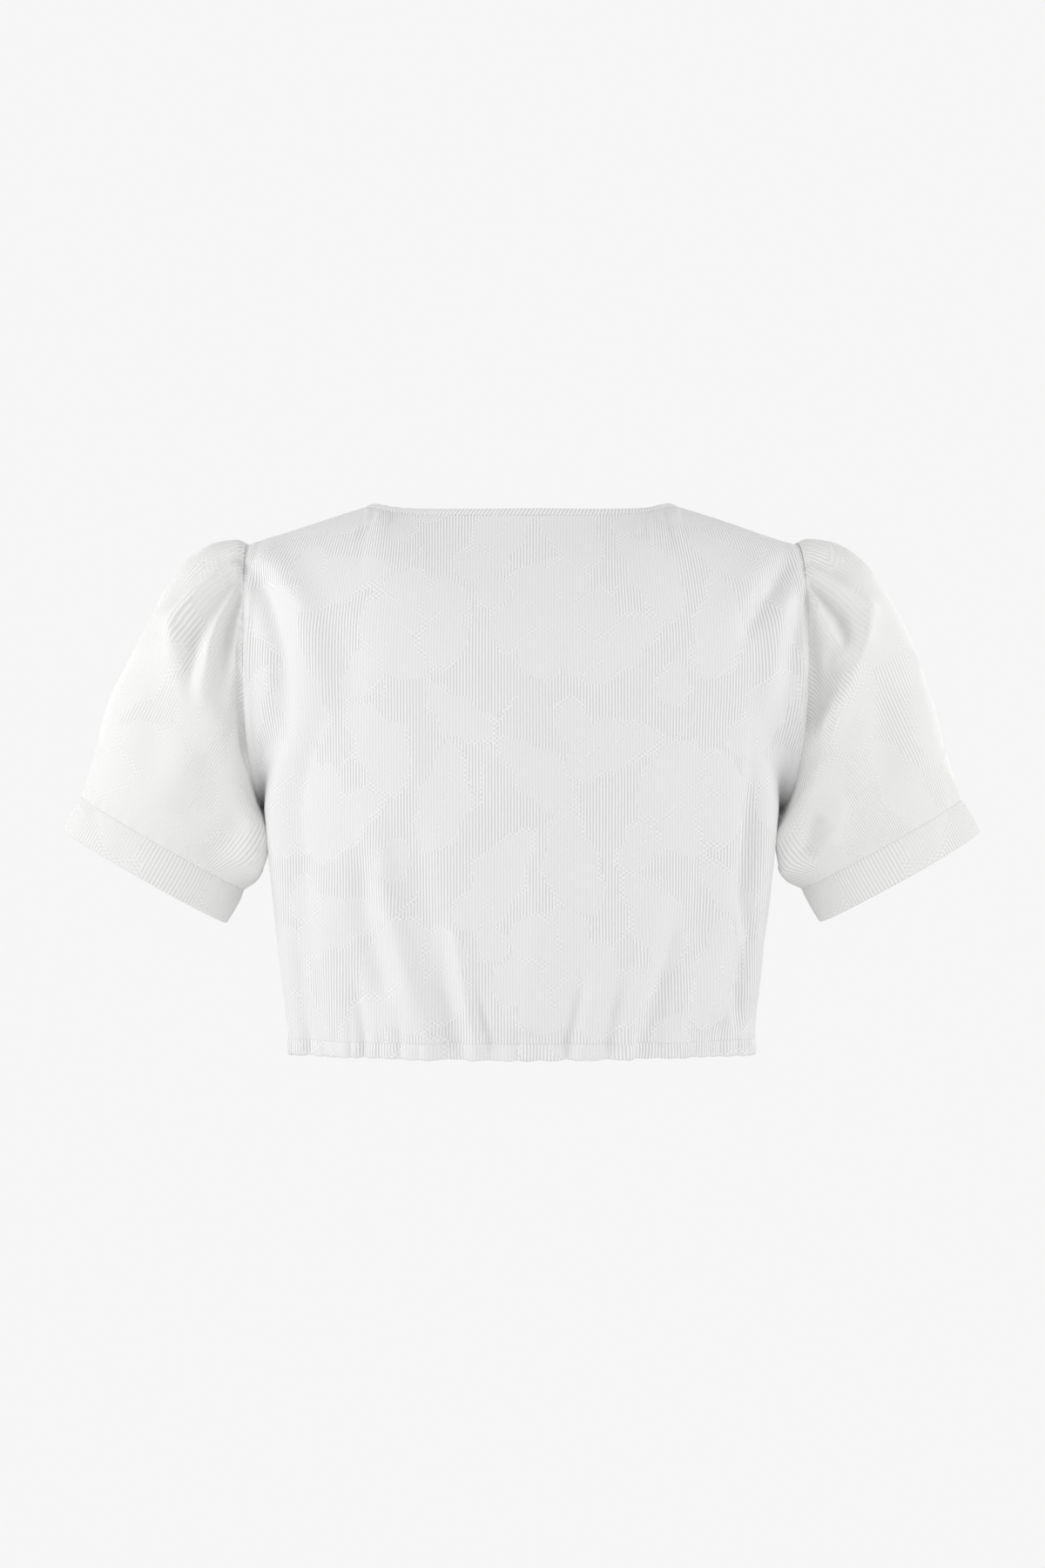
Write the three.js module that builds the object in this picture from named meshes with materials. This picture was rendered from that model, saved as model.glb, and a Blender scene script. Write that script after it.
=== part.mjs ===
// A cropped blouse in white ribbed jacquard, worn and filled out: a back and a front panel, two
// short puff sleeves gathered at the head, two straight cuffs, a bias neck binding and a gathered
// elastic hem casing. Millimetres, +Z up. The back faces -Y, the front +Y, and +X is the wearer's
// right. The origin is midway between the two shoulder neck points.
import * as THREE from "three";

// Driving sizes of the bodice.
const NECK_HALF = 112; // half the neck width at the panels' own edge
const NECK_SIDE_Z = 0.3; // height of that edge on the shoulder seam
const SHOULDER_HALF = 197; // half the width between the shoulder points
const SHOULDER_Z = -27.2;
const ARMHOLE_MID = { left: 197, right: 203, y: 51, z: -120 }; // halfway down each armhole
const UNDERARM = { x: 184.5, z: -218 };
const CASING_TOP_Z = -381;
const HEM_Z = -392.6;
const SHOULDER_SHARE = 0.5; // share of the panel's half width that the neckline takes at the top

// Walls and seams.
const CLOTH = 1.6;
const CUFF_WALL = 2.4;
const BINDING_WALL = 2.4;
const CASING_WALL = 3;
const SEAM_GAP = 0.36;
const BINDING_GAP = 0.62;
const BINDING_WIDTH = 5;
const CUFF_HEIGHT = 27.3;

// Grid sizes.
const PANEL_COLUMNS = 40;
const PANEL_ROWS = { lower: 9, middle: 5, upper: 7 };
const SLEEVE_COLUMNS = 44;
const SLEEVE_ROWS = 15;
const HEM_GATHERS = 74;
const POINTS_PER_GATHER = 4;

// Half width and depths of the bodice at heights below the underarm, to the cloth's outer face.
const GIRTHS = [
  { z: -394, half: 166.2, back: 94, front: 107 },
  { z: -381, half: 167.4, back: 95.5, front: 109 },
  { z: -360, half: 169.6, back: 98.5, front: 113 },
  { z: -330, half: 173.4, back: 101.5, front: 118 },
  { z: -300, half: 176.4, back: 104, front: 122.5 },
  { z: -273, half: 179.2, back: 105.5, front: 126 },
  { z: -245, half: 182.2, back: 106.5, front: 128 },
  { z: -218, half: 184.5, back: 106.5, front: 128 },
];
const GIRTH_SQUARENESS = 2.25;

// The two panels. side is the sign of Y. neck is the neckline's middle, blade is the middle at the
// height of the shoulder blades or upper chest, and sweep is how far round the cloth has turned there.
const PANELS = {
  back: {
    side: -1,
    neck: { depth: 60.5, z: -10.2, curve: 4 },
    blade: { depth: 103, z: -118, sweep: 60 },
  },
  front: {
    side: 1,
    neck: { depth: 86, z: -80, curve: 2.2 },
    blade: { depth: 119, z: -152, sweep: 61 },
  },
};

// Large folds, as seen from behind or in front: a path of [x, z], its half width and its height.
const BACK_FOLDS = [
  { path: [[-186, -60], [-178, -120], [-172, -190]], width: 9, height: -4.5 },
  { path: [[-160, -38], [-150, -90], [-143, -170], [-150, -235]], width: 16, height: 5 },
  { path: [[-118, -205], [-96, -285], [-70, -382]], width: 10, height: 4.5 },
  { path: [[-92, -215], [-78, -290], [-52, -360]], width: 13, height: -3.5 },
  { path: [[-55, -300], [-38, -345], [-22, -382]], width: 8, height: -4.5 },
  { path: [[-34, -300], [-16, -350], [-6, -382]], width: 10, height: 3.5 },
  { path: [[8, -200], [10, -280], [27, -382]], width: 11, height: -3.5 },
  { path: [[45, -215], [52, -300], [47, -382]], width: 14, height: 3 },
  { path: [[98, -300], [90, -345], [75, -382]], width: 8, height: 4.5 },
  { path: [[112, -300], [104, -350], [90, -382]], width: 9, height: -4.5 },
  { path: [[142, -170], [148, -240], [140, -310], [147, -382]], width: 11, height: 5 },
  { path: [[164, -230], [160, -300], [156, -382]], width: 9, height: -4 },
  { path: [[193, -38], [178, -62], [160, -84]], width: 7, height: -4 },
  { path: [[186, -80], [176, -140], [170, -200]], width: 9, height: -4 },
  { path: [[98, -10], [108, -30]], width: 5, height: -2.5 },
  { path: [[-103, -8], [-110, -18]], width: 5, height: -2.5 },
];
const FRONT_FOLDS = [
  { path: [[-184, -75], [-172, -140], [-166, -200]], width: 10, height: -4 },
  { path: [[184, -70], [174, -140], [168, -205]], width: 10, height: -4 },
  { path: [[-128, -190], [-112, -290], [-90, -382]], width: 12, height: 4.5 },
  { path: [[-100, -240], [-80, -310], [-62, -382]], width: 10, height: -4 },
  { path: [[-40, -260], [-30, -330], [-34, -382]], width: 12, height: 4 },
  { path: [[-8, -270], [-4, -330], [2, -382]], width: 10, height: -3.5 },
  { path: [[36, -230], [30, -310], [24, -382]], width: 12, height: 4 },
  { path: [[74, -280], [66, -330], [58, -382]], width: 9, height: -4 },
  { path: [[122, -200], [112, -290], [94, -382]], width: 12, height: 4.5 },
  { path: [[150, -250], [144, -320], [136, -382]], width: 10, height: -4 },
  { path: [[-150, -250], [-146, -320], [-140, -382]], width: 10, height: -4 },
];

// Each sleeve's outline as seen from behind, with X counted outwards: the overarm line from the
// shoulder point to the cuff seam, the underarm line, and the half depth between them.
const SLEEVE_SECTIONS = {
  left: [
    { t: 0, overX: 197, overZ: -27.2, underX: 184.5, underZ: -218, depth: 51 },
    { t: 0.05, overX: 206, overZ: -23.3, underX: 184.9, underZ: -222, depth: 56 },
    { t: 0.12, overX: 221, overZ: -25.2, underX: 185.3, underZ: -227, depth: 63 },
    { t: 0.2, overX: 238, overZ: -34.5, underX: 185.8, underZ: -232, depth: 69 },
    { t: 0.3, overX: 253.5, overZ: -51, underX: 185.8, underZ: -238, depth: 74 },
    { t: 0.42, overX: 268, overZ: -79, underX: 185.7, underZ: -246, depth: 76 },
    { t: 0.55, overX: 283.5, overZ: -109, underX: 185.9, underZ: -254, depth: 75 },
    { t: 0.7, overX: 300.5, overZ: -147, underX: 187.3, underZ: -262, depth: 69 },
    { t: 0.85, overX: 309, overZ: -180, underX: 192, underZ: -270, depth: 58 },
    { t: 1, overX: 317.6, overZ: -209.2, underX: 201, underZ: -276, depth: 44.5 },
  ],
  right: [
    { t: 0, overX: 197, overZ: -27.2, underX: 184.5, underZ: -218, depth: 51 },
    { t: 0.05, overX: 207, overZ: -23.2, underX: 185, underZ: -222, depth: 56 },
    { t: 0.12, overX: 223.5, overZ: -25.3, underX: 185.6, underZ: -227, depth: 63 },
    { t: 0.2, overX: 241, overZ: -34, underX: 186.1, underZ: -232, depth: 69 },
    { t: 0.3, overX: 257, overZ: -51.5, underX: 186.2, underZ: -238, depth: 74 },
    { t: 0.42, overX: 272, overZ: -76.5, underX: 186, underZ: -246, depth: 76 },
    { t: 0.55, overX: 286, overZ: -107.5, underX: 186.3, underZ: -254, depth: 75 },
    { t: 0.7, overX: 297.5, overZ: -147, underX: 188, underZ: -262, depth: 69 },
    { t: 0.85, overX: 308, overZ: -181, underX: 193, underZ: -270, depth: 58 },
    { t: 1, overX: 317.4, overZ: -211, underX: 202.6, underZ: -276, depth: 44.5 },
  ],
};

// Gathers and drapes of each sleeve, as [x, z] paths like the panels' folds. face is -1 for behind.
const SLEEVE_FOLDS = {
  left: [
    { face: -1, path: [[199, -33], [228, -40], [256, -55]], width: 5, height: -4 },
    { face: -1, path: [[206, -42], [236, -64], [251, -83], [252, -112], [246, -130]], width: 7, height: 5 },
    { face: -1, path: [[200, -46], [220, -76], [236, -98], [236, -126]], width: 6, height: -4.5 },
    { face: -1, path: [[199, -51], [213, -73], [223, -90], [229, -112], [237, -134]], width: 6, height: 5 },
    { face: -1, path: [[199, -66], [209, -95], [209, -132], [214, -160]], width: 7, height: -6 },
    { face: -1, path: [[208, -232], [222, -248], [232, -262]], width: 9, height: -4 },
    { face: 1, path: [[199, -34], [226, -42], [252, -56]], width: 6, height: -4 },
    { face: 1, path: [[204, -44], [232, -66], [250, -92], [254, -122]], width: 8, height: 5 },
    { face: 1, path: [[200, -58], [216, -84], [226, -112], [228, -140]], width: 7, height: -5 },
    { face: 1, path: [[200, -72], [210, -100], [216, -132]], width: 7, height: 4 },
    { face: 1, path: [[206, -228], [224, -246], [240, -258]], width: 9, height: -4 },
  ],
  right: [
    { face: -1, path: [[200, -36], [220, -42], [239, -56]], width: 6, height: -5 },
    { face: -1, path: [[202, -44], [222, -56], [246, -70]], width: 6, height: 4 },
    { face: -1, path: [[200, -54], [214, -62], [228, -80], [239, -98]], width: 7, height: -5.5 },
    { face: -1, path: [[201, -66], [214, -82], [226, -102], [232, -118]], width: 6, height: 5 },
    { face: -1, path: [[250, -66], [248, -108], [239, -141], [226, -166]], width: 9, height: 5 },
    { face: -1, path: [[222, -110], [224, -138], [214, -160]], width: 9, height: -5 },
    { face: -1, path: [[262, -110], [263, -170], [250, -220]], width: 14, height: -4.5 },
    { face: -1, path: [[217, -224], [209, -240], [202, -256]], width: 7, height: -5.5 },
    { face: 1, path: [[199, -34], [224, -40], [250, -52]], width: 6, height: -4 },
    { face: 1, path: [[203, -46], [230, -68], [248, -96]], width: 8, height: 5 },
    { face: 1, path: [[200, -60], [214, -84], [222, -112]], width: 7, height: -5 },
    { face: 1, path: [[210, -230], [226, -246], [240, -262]], width: 9, height: -4 },
  ],
};
const CUFF_TILT = 29.5; // degrees that the cuff's edge slopes, seen from behind

const radians = (degrees) => (degrees * Math.PI) / 180;
const lerp = (a, b, share) => a + (b - a) * share;
const clamp01 = (value) => Math.min(1, Math.max(0, value));
const smoothstep = (value) => clamp01(value) ** 2 * (3 - 2 * clamp01(value));

// One named column of a table at a place between its rows, by a monotone cubic.
function column(table, key, name, at) {
  const keys = table.map((row) => row[key]);
  const values = table.map((row) => row[name]);
  const last = keys.length - 1;
  const slopes = keys.slice(1).map((k, i) => (values[i + 1] - values[i]) / (k - keys[i]));
  const tangent = (i) => {
    if (i === 0) return slopes[0];
    if (i === last) return slopes[last - 1];
    const before = slopes[i - 1];
    const after = slopes[i];
    return before * after <= 0 ? 0 : (2 * before * after) / (before + after);
  };
  const held = Math.min(keys[last], Math.max(keys[0], at));
  let i = 0;
  while (i < last - 1 && held > keys[i + 1]) i += 1;
  const step = keys[i + 1] - keys[i];
  const s = (held - keys[i]) / step;
  const rise = s * s * (3 - 2 * s);
  return (
    values[i] * (1 - rise) +
    values[i + 1] * rise +
    step * tangent(i) * s * (1 - s) ** 2 -
    step * tangent(i + 1) * s * s * (1 - s)
  );
}

// Distance from a point to a path of [x, z], and the share of the path passed there.
function nearestOnPath(path, x, z) {
  let best = { distance: Infinity, share: 0 };
  const pieces = path.length - 1;
  for (let i = 0; i < pieces; i += 1) {
    const [ax, az] = path[i];
    const dx = path[i + 1][0] - ax;
    const dz = path[i + 1][1] - az;
    const s = clamp01(((x - ax) * dx + (z - az) * dz) / (dx * dx + dz * dz));
    const distance = Math.hypot(x - ax - s * dx, z - az - s * dz);
    if (distance < best.distance) best = { distance, share: (i + s) / pieces };
  }
  return best;
}

// How far the folds lift the cloth at [x, z]. Each fades in over the first quarter of its path.
function foldLift(folds, x, z) {
  return folds.reduce((sum, { path, width, height }) => {
    const { distance, share } = nearestOnPath(path, x, z);
    const ends = 0.35 + 0.65 * smoothstep(share * 4);
    return sum + height * ends * Math.exp(-((distance / width) ** 2));
  }, 0);
}

// A point of the bodice's girth at height z. turn is 0 at the middle and 1 or -1 at a side seam.
function girthPoint({ side }, turn, z) {
  const angle = (turn * Math.PI) / 2;
  const across = Math.abs(Math.sin(angle));
  const along = Math.abs(Math.cos(angle));
  const reach = (across ** GIRTH_SQUARENESS + along ** GIRTH_SQUARENESS) ** (-1 / GIRTH_SQUARENESS);
  const depth = column(GIRTHS, "z", side < 0 ? "back" : "front", z);
  return new THREE.Vector3(
    column(GIRTHS, "z", "half", z) * reach * Math.sin(angle),
    side * depth * reach * along,
    z,
  );
}

// The panel's level at the shoulder blades or upper chest, from armhole to armhole.
function bladePoint({ side, blade }, u) {
  const sweep = radians(blade.sweep);
  const reach = u < 0 ? ARMHOLE_MID.left : ARMHOLE_MID.right;
  const middle = (Math.cos(sweep * u) - Math.cos(sweep)) / (1 - Math.cos(sweep));
  return new THREE.Vector3(
    (reach * Math.sin(sweep * u)) / Math.sin(sweep),
    side * lerp(ARMHOLE_MID.y, blade.depth, middle),
    lerp(ARMHOLE_MID.z, blade.z, Math.cos((u * Math.PI) / 2) ** 2),
  );
}

// The panel's top edge: the neckline in the middle and a shoulder seam on each side.
function topPoint({ side, neck }, u) {
  const sign = Math.sign(u) || 1;
  const out = Math.abs(u);
  if (out >= SHOULDER_SHARE) {
    const share = (out - SHOULDER_SHARE) / (1 - SHOULDER_SHARE);
    return new THREE.Vector3(
      sign * lerp(NECK_HALF, SHOULDER_HALF, share),
      0,
      lerp(NECK_SIDE_Z, SHOULDER_Z, share),
    );
  }
  const angle = ((out / SHOULDER_SHARE) * Math.PI) / 2;
  return new THREE.Vector3(
    sign * NECK_HALF * Math.sin(angle),
    side * neck.depth * Math.cos(angle),
    lerp(neck.z, NECK_SIDE_Z, Math.sin(angle) ** neck.curve),
  );
}

// The panel without its folds. v runs 0 to 1 up to the underarm, to 2 at the blades, to 3 at the top.
function plainPanelPoint(panel, u, v) {
  if (v <= 1) return girthPoint(panel, u, lerp(CASING_TOP_Z, UNDERARM.z, v));
  const blade = bladePoint(panel, u);
  if (v <= 2) {
    const low = girthPoint(panel, u, UNDERARM.z);
    const s = v - 1;
    const arc = Math.sin((s * Math.PI) / 2);
    const edge = Math.abs(u) ** 8;
    return new THREE.Vector3(
      lerp(low.x, blade.x, lerp(smoothstep(s), arc, edge)),
      lerp(low.y, blade.y, lerp(smoothstep(s), arc, edge)),
      lerp(low.z, blade.z, lerp(s, 1 - Math.cos((s * Math.PI) / 2), edge)),
    );
  }
  const top = topPoint(panel, u);
  const s = 3 - v;
  const arc = Math.sin((s * Math.PI) / 2);
  const neckness = 1 - smoothstep(Math.abs(u) / SHOULDER_SHARE);
  return new THREE.Vector3(
    lerp(top.x, blade.x, arc),
    lerp(top.y, blade.y, arc),
    lerp(blade.z, top.z, lerp(Math.cos((s * Math.PI) / 2), 1 - s, neckness)),
  );
}

// The armhole edge that a panel shares with the sleeve. turn is 0 at the shoulder, 1 at the underarm.
function armholePoint(hand, side, turn) {
  const swing = Math.sin(turn * Math.PI);
  const upper = turn <= 0.5;
  return new THREE.Vector3(
    lerp(upper ? SHOULDER_HALF : UNDERARM.x, ARMHOLE_MID[hand], swing),
    side * ARMHOLE_MID.y * swing,
    lerp(ARMHOLE_MID.z, upper ? SHOULDER_Z : UNDERARM.z, Math.abs(Math.cos(turn * Math.PI))),
  );
}

// Unit normal of a surface given as a function of two numbers. sign turns it to the outside.
function normalOf(surface, a, b, sign, step = 0.002) {
  const across = surface(a + step, b).sub(surface(a - step, b));
  const along = surface(a, b + step).sub(surface(a, b - step));
  return across.cross(along).normalize().multiplyScalar(sign);
}

// A panel point moved out by its folds, which fade out at every seam but the hem's.
function panelPoint(panel, folds, u, v) {
  const plain = (a, b) => plainPanelPoint(panel, Math.max(-1, Math.min(1, a)), Math.min(3, Math.max(0, b)));
  const point = plain(u, v);
  const fade = smoothstep((1 - Math.abs(u)) * 9) * smoothstep((3 - v) * 4);
  const lift = foldLift(folds, point.x, point.z) * fade;
  return point.addScaledVector(normalOf(plain, u, v, -panel.side, 0.004), lift);
}

// Joins an outer and an inner grid of points into one closed wall. Rows run along the tube or up the
// panel. A ring's rows close on themselves. flip turns the faces when the rows run the other way.
function wallGeometry(outer, inner, ring, flip) {
  const rows = outer.length;
  const columns = outer[0].length;
  const points = [...outer.flat(), ...inner.flat()];
  const index = [];
  const at = (layer, row, col) => layer * rows * columns + row * columns + (col % columns);
  const quad = (a, b, c, d) => {
    if (flip) index.push(a, c, b, a, d, c);
    else index.push(a, b, c, a, c, d);
  };
  const spans = ring ? columns : columns - 1;
  for (let row = 0; row < rows - 1; row += 1) {
    for (let col = 0; col < spans; col += 1) {
      quad(at(0, row, col), at(0, row, col + 1), at(0, row + 1, col + 1), at(0, row + 1, col));
      quad(at(1, row, col), at(1, row + 1, col), at(1, row + 1, col + 1), at(1, row, col + 1));
    }
  }
  for (let col = 0; col < spans; col += 1) {
    quad(at(0, 0, col), at(1, 0, col), at(1, 0, col + 1), at(0, 0, col + 1));
    quad(at(0, rows - 1, col), at(0, rows - 1, col + 1), at(1, rows - 1, col + 1), at(1, rows - 1, col));
  }
  if (!ring) {
    for (let row = 0; row < rows - 1; row += 1) {
      quad(at(0, row, 0), at(0, row + 1, 0), at(1, row + 1, 0), at(1, row, 0));
      const end = columns - 1;
      quad(at(0, row, end), at(1, row, end), at(1, row + 1, end), at(0, row + 1, end));
    }
  }
  const geometry = new THREE.BufferGeometry();
  geometry.setAttribute(
    "position",
    new THREE.Float32BufferAttribute(points.flatMap((p) => [p.x, p.y, p.z]), 3),
  );
  geometry.setIndex(index);
  geometry.computeVertexNormals();
  return geometry;
}

// The unit normals of a grid of points, from its neighbouring points.
function gridNormals(grid, ring, sign) {
  const rows = grid.length;
  const columns = grid[0].length;
  return grid.map((row, r) =>
    row.map((_, c) => {
      const left = ring ? (c + columns - 1) % columns : Math.max(0, c - 1);
      const right = ring ? (c + 1) % columns : Math.min(columns - 1, c + 1);
      const across = grid[r][right].clone().sub(grid[r][left]);
      const along = grid[Math.min(rows - 1, r + 1)][c].clone().sub(grid[Math.max(0, r - 1)][c]);
      return across.cross(along).normalize().multiplyScalar(sign);
    }),
  );
}

// The points a cloth's thickness under a grid of outer points.
function innerGrid(outer, thickness, ring, sign) {
  const normals = gridNormals(outer, ring, sign);
  return outer.map((row, r) =>
    row.map((point, c) => point.clone().addScaledVector(normals[r][c], -thickness)),
  );
}

// Keeps a panel's points half a seam's gap on its own side of the side and shoulder seams.
function keepSide(points, side) {
  points.flat().forEach((point) => point.setY(side * Math.max(side * point.y, SEAM_GAP / 2)));
  return points;
}

// The panel's rows, from the casing's top edge to the neckline, kept a seam's gap from each edge.
function panelGrid(panel, folds) {
  const levels = [
    ...spread(0, 1, PANEL_ROWS.lower),
    ...spread(1, 2, PANEL_ROWS.middle),
    ...spread(2, 3, PANEL_ROWS.upper),
    3,
  ];
  const trimU = SEAM_GAP / 2 / 220;
  const trimV = SEAM_GAP / 2 / 150;
  return levels.map((level) => {
    const v = Math.min(3 - trimV, Math.max(trimV, level));
    return Array.from({ length: PANEL_COLUMNS + 1 }, (_, c) => {
      const u = (-1 + (2 * c) / PANEL_COLUMNS) * (1 - trimU);
      return panelPoint(panel, folds, u, v);
    });
  });
}

function panelGeometry(panel, outer) {
  const inner = innerGrid(outer, CLOTH, false, -panel.side);
  return wallGeometry(keepSide(outer, panel.side), keepSide(inner, panel.side), false, panel.side > 0);
}

// count numbers from a up to, and without, b.
function spread(a, b, count) {
  return Array.from({ length: count }, (_, i) => lerp(a, b, i / count));
}

// A point of a sleeve, with X counted outwards. turn runs 0 to 1 round it, from the overarm by the
// back, and t down it.
function plainSleevePoint(hand, turn, t) {
  const angle = turn * 2 * Math.PI;
  const sections = SLEEVE_SECTIONS[hand];
  const at = (name) => column(sections, "t", name, t);
  const over = new THREE.Vector3(at("overX"), 0, at("overZ"));
  const under = new THREE.Vector3(at("underX"), 0, at("underZ"));
  const point = over
    .clone()
    .add(under)
    .multiplyScalar(0.5)
    .addScaledVector(over.clone().sub(under), 0.5 * Math.cos(angle));
  point.y = -at("depth") * Math.sin(angle);
  if (t >= 0.5) return point;
  const [first] = sections;
  const side = angle < Math.PI ? -1 : 1;
  const armhole = armholePoint(hand, side, angle < Math.PI ? turn * 2 : 2 - turn * 2);
  const base = new THREE.Vector3(
    lerp(first.underX, first.overX, (1 + Math.cos(angle)) / 2),
    -first.depth * Math.sin(angle),
    lerp(first.underZ, first.overZ, (1 + Math.cos(angle)) / 2),
  );
  return point.addScaledVector(armhole.sub(base), 1 - smoothstep(t * 2));
}

function sleevePoint(hand, turn, t) {
  const plain = (a, b) => plainSleevePoint(hand, a, clamp01(b));
  const point = plain(turn, t);
  const face = turn % 1 < 0.5 ? -1 : 1;
  const facing = SLEEVE_FOLDS[hand].filter((fold) => fold.face === face);
  const ends = smoothstep(t * 14) * smoothstep((1 - t) * 10);
  const fade = ends * smoothstep(Math.abs(Math.sin(turn * 2 * Math.PI)) * 2.5);
  const lift = foldLift(facing, point.x, point.z) * fade;
  return point.addScaledVector(normalOf(plain, turn, t, 1, 0.003), lift);
}

function sleeveGeometry(hand) {
  const outer = Array.from({ length: SLEEVE_ROWS + 1 }, (_, r) => {
    const t = r / SLEEVE_ROWS;
    return Array.from({ length: SLEEVE_COLUMNS }, (_, c) => {
      const point = sleevePoint(hand, c / SLEEVE_COLUMNS, t);
      point.x += SEAM_GAP * (1 - smoothstep(t * 3));
      return point;
    });
  });
  return handed(outer, hand, CLOTH);
}

// A wall under rings of points that run outwards, as they are for the right or mirrored for the left.
function handed(outer, hand, thickness) {
  const sign = hand === "left" ? -1 : 1;
  outer.flat().forEach((point) => point.setX(sign * point.x));
  return wallGeometry(outer, innerGrid(outer, thickness, true, sign), true, sign < 0);
}

// The cuff: a straight band on the sleeve's last ring, a little prouder than the sleeve.
function cuffGeometry(hand) {
  const axis = new THREE.Vector3(Math.sin(radians(CUFF_TILT)), 0, -Math.cos(radians(CUFF_TILT)));
  const last = SLEEVE_SECTIONS[hand][SLEEVE_SECTIONS[hand].length - 1];
  const centre = new THREE.Vector3((last.overX + last.underX) / 2, 0, (last.overZ + last.underZ) / 2);
  const rows = [SEAM_GAP, CUFF_HEIGHT / 2, CUFF_HEIGHT];
  const outer = rows.map((down) =>
    Array.from({ length: SLEEVE_COLUMNS }, (_, c) => {
      const point = plainSleevePoint(hand, c / SLEEVE_COLUMNS, 1);
      point.addScaledVector(point.clone().sub(centre).normalize(), 1 + down * 0.06);
      return point.addScaledVector(axis, down);
    }),
  );
  return handed(outer, hand, CUFF_WALL);
}

// The panels' neck edge as a ring, from the right shoulder by the back, with the cloth's own normals.
function neckEdge(backGrid, frontGrid) {
  const tops = [[backGrid, 1], [frontGrid, -1]].map(([grid, sign]) => {
    const normals = gridNormals(grid, false, sign);
    return grid[grid.length - 1].map((point, c) => ({ point, normal: normals[grid.length - 1][c] }));
  });
  const left = PANEL_COLUMNS * (0.5 - SHOULDER_SHARE / 2);
  const right = PANEL_COLUMNS * (0.5 + SHOULDER_SHARE / 2);
  const shared = (c) => ({
    point: tops[0][c].point.clone().add(tops[1][c].point).multiplyScalar(0.5),
    normal: tops[0][c].normal.clone().add(tops[1][c].normal).normalize(),
  });
  return [
    shared(right),
    ...tops[0].slice(left + 1, right).reverse(),
    shared(left),
    ...tops[1].slice(left + 1, right),
  ];
}

// The neck binding: a narrow band that goes on from the panels' neck edge, square to it.
function bindingGeometry(edge) {
  const rises = [
    { rise: BINDING_GAP, proud: 0.3 },
    { rise: BINDING_WIDTH / 2, proud: 0.7 },
    { rise: BINDING_WIDTH, proud: 0.3 },
  ];
  const count = edge.length;
  const outer = rises.map(({ rise, proud }) =>
    edge.map(({ point, normal }, c) => {
      const along = edge[(c + 1) % count].point.clone().sub(edge[(c + count - 1) % count].point);
      const up = along.cross(normal).normalize();
      return point.clone().addScaledVector(up, rise).addScaledVector(normal, proud);
    }),
  );
  return wallGeometry(outer, innerGrid(outer, BINDING_WALL, true, -1), true, true);
}

// The elastic casing: a ring of small gathers round the hem.
function casingGeometry() {
  const count = HEM_GATHERS * POINTS_PER_GATHER;
  const heights = [CASING_TOP_Z - SEAM_GAP, HEM_Z];
  const layer = (inset, share) =>
    heights.map((z) =>
      Array.from({ length: count }, (_, c) => {
        const quarter = (c / count) * 4;
        const panel = quarter < 2 ? PANELS.back : PANELS.front;
        const folds = quarter < 2 ? BACK_FOLDS : FRONT_FOLDS;
        const u = quarter < 2 ? 1 - quarter : quarter - 3;
        const plain = (a, b) => girthPoint(panel, a, b);
        const point = plain(u, z);
        const normal = normalOf(plain, u, z, -panel.side, 0.01);
        const fold = foldLift(folds, point.x, CASING_TOP_Z) * smoothstep((1 - Math.abs(u)) * 9);
        const gather = Math.cos((2 * Math.PI * c) / POINTS_PER_GATHER) * (0.9 + 0.5 * Math.sin(c * 0.37));
        return point.addScaledVector(normal, fold + share * gather - inset);
      }),
    );
  return wallGeometry(layer(0, 1), layer(CASING_WALL, 0.2), true, false);
}

const CLOTH_WHITE = new THREE.MeshStandardMaterial({ color: 0xf1f1ef, roughness: 0.72, metalness: 0 });
const BAND_WHITE = new THREE.MeshStandardMaterial({ color: 0xf3f2ee, roughness: 0.7, metalness: 0 });

const backGrid = panelGrid(PANELS.back, BACK_FOLDS);
const frontGrid = panelGrid(PANELS.front, FRONT_FOLDS);
const blouse = new THREE.Group();
const pieces = [
  ["back", panelGeometry(PANELS.back, backGrid), CLOTH_WHITE],
  ["front", panelGeometry(PANELS.front, frontGrid), CLOTH_WHITE],
  ["sleeve_left", sleeveGeometry("left"), CLOTH_WHITE],
  ["sleeve_right", sleeveGeometry("right"), CLOTH_WHITE],
  ["cuff_left", cuffGeometry("left"), BAND_WHITE],
  ["cuff_right", cuffGeometry("right"), BAND_WHITE],
  ["neck_binding", bindingGeometry(neckEdge(backGrid, frontGrid)), BAND_WHITE],
  ["hem_casing", casingGeometry(), BAND_WHITE],
];
for (const [name, geometry, material] of pieces) {
  const mesh = new THREE.Mesh(geometry, material);
  mesh.name = name;
  blouse.add(mesh);
}

export default blouse;
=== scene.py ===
"""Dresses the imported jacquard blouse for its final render.

Every sewn piece is a thin cloth shell on the form of its solid: the back and front panels, the two
puff sleeves, the cuffs, the neck binding and the gathered hem casing. Lengths in the tables are
millimetres, and the meshes are metres. The back faces -Y, towards the camera.
"""

import logging
import math
from dataclasses import dataclass, field
from enum import Enum
from typing import Sequence

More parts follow.
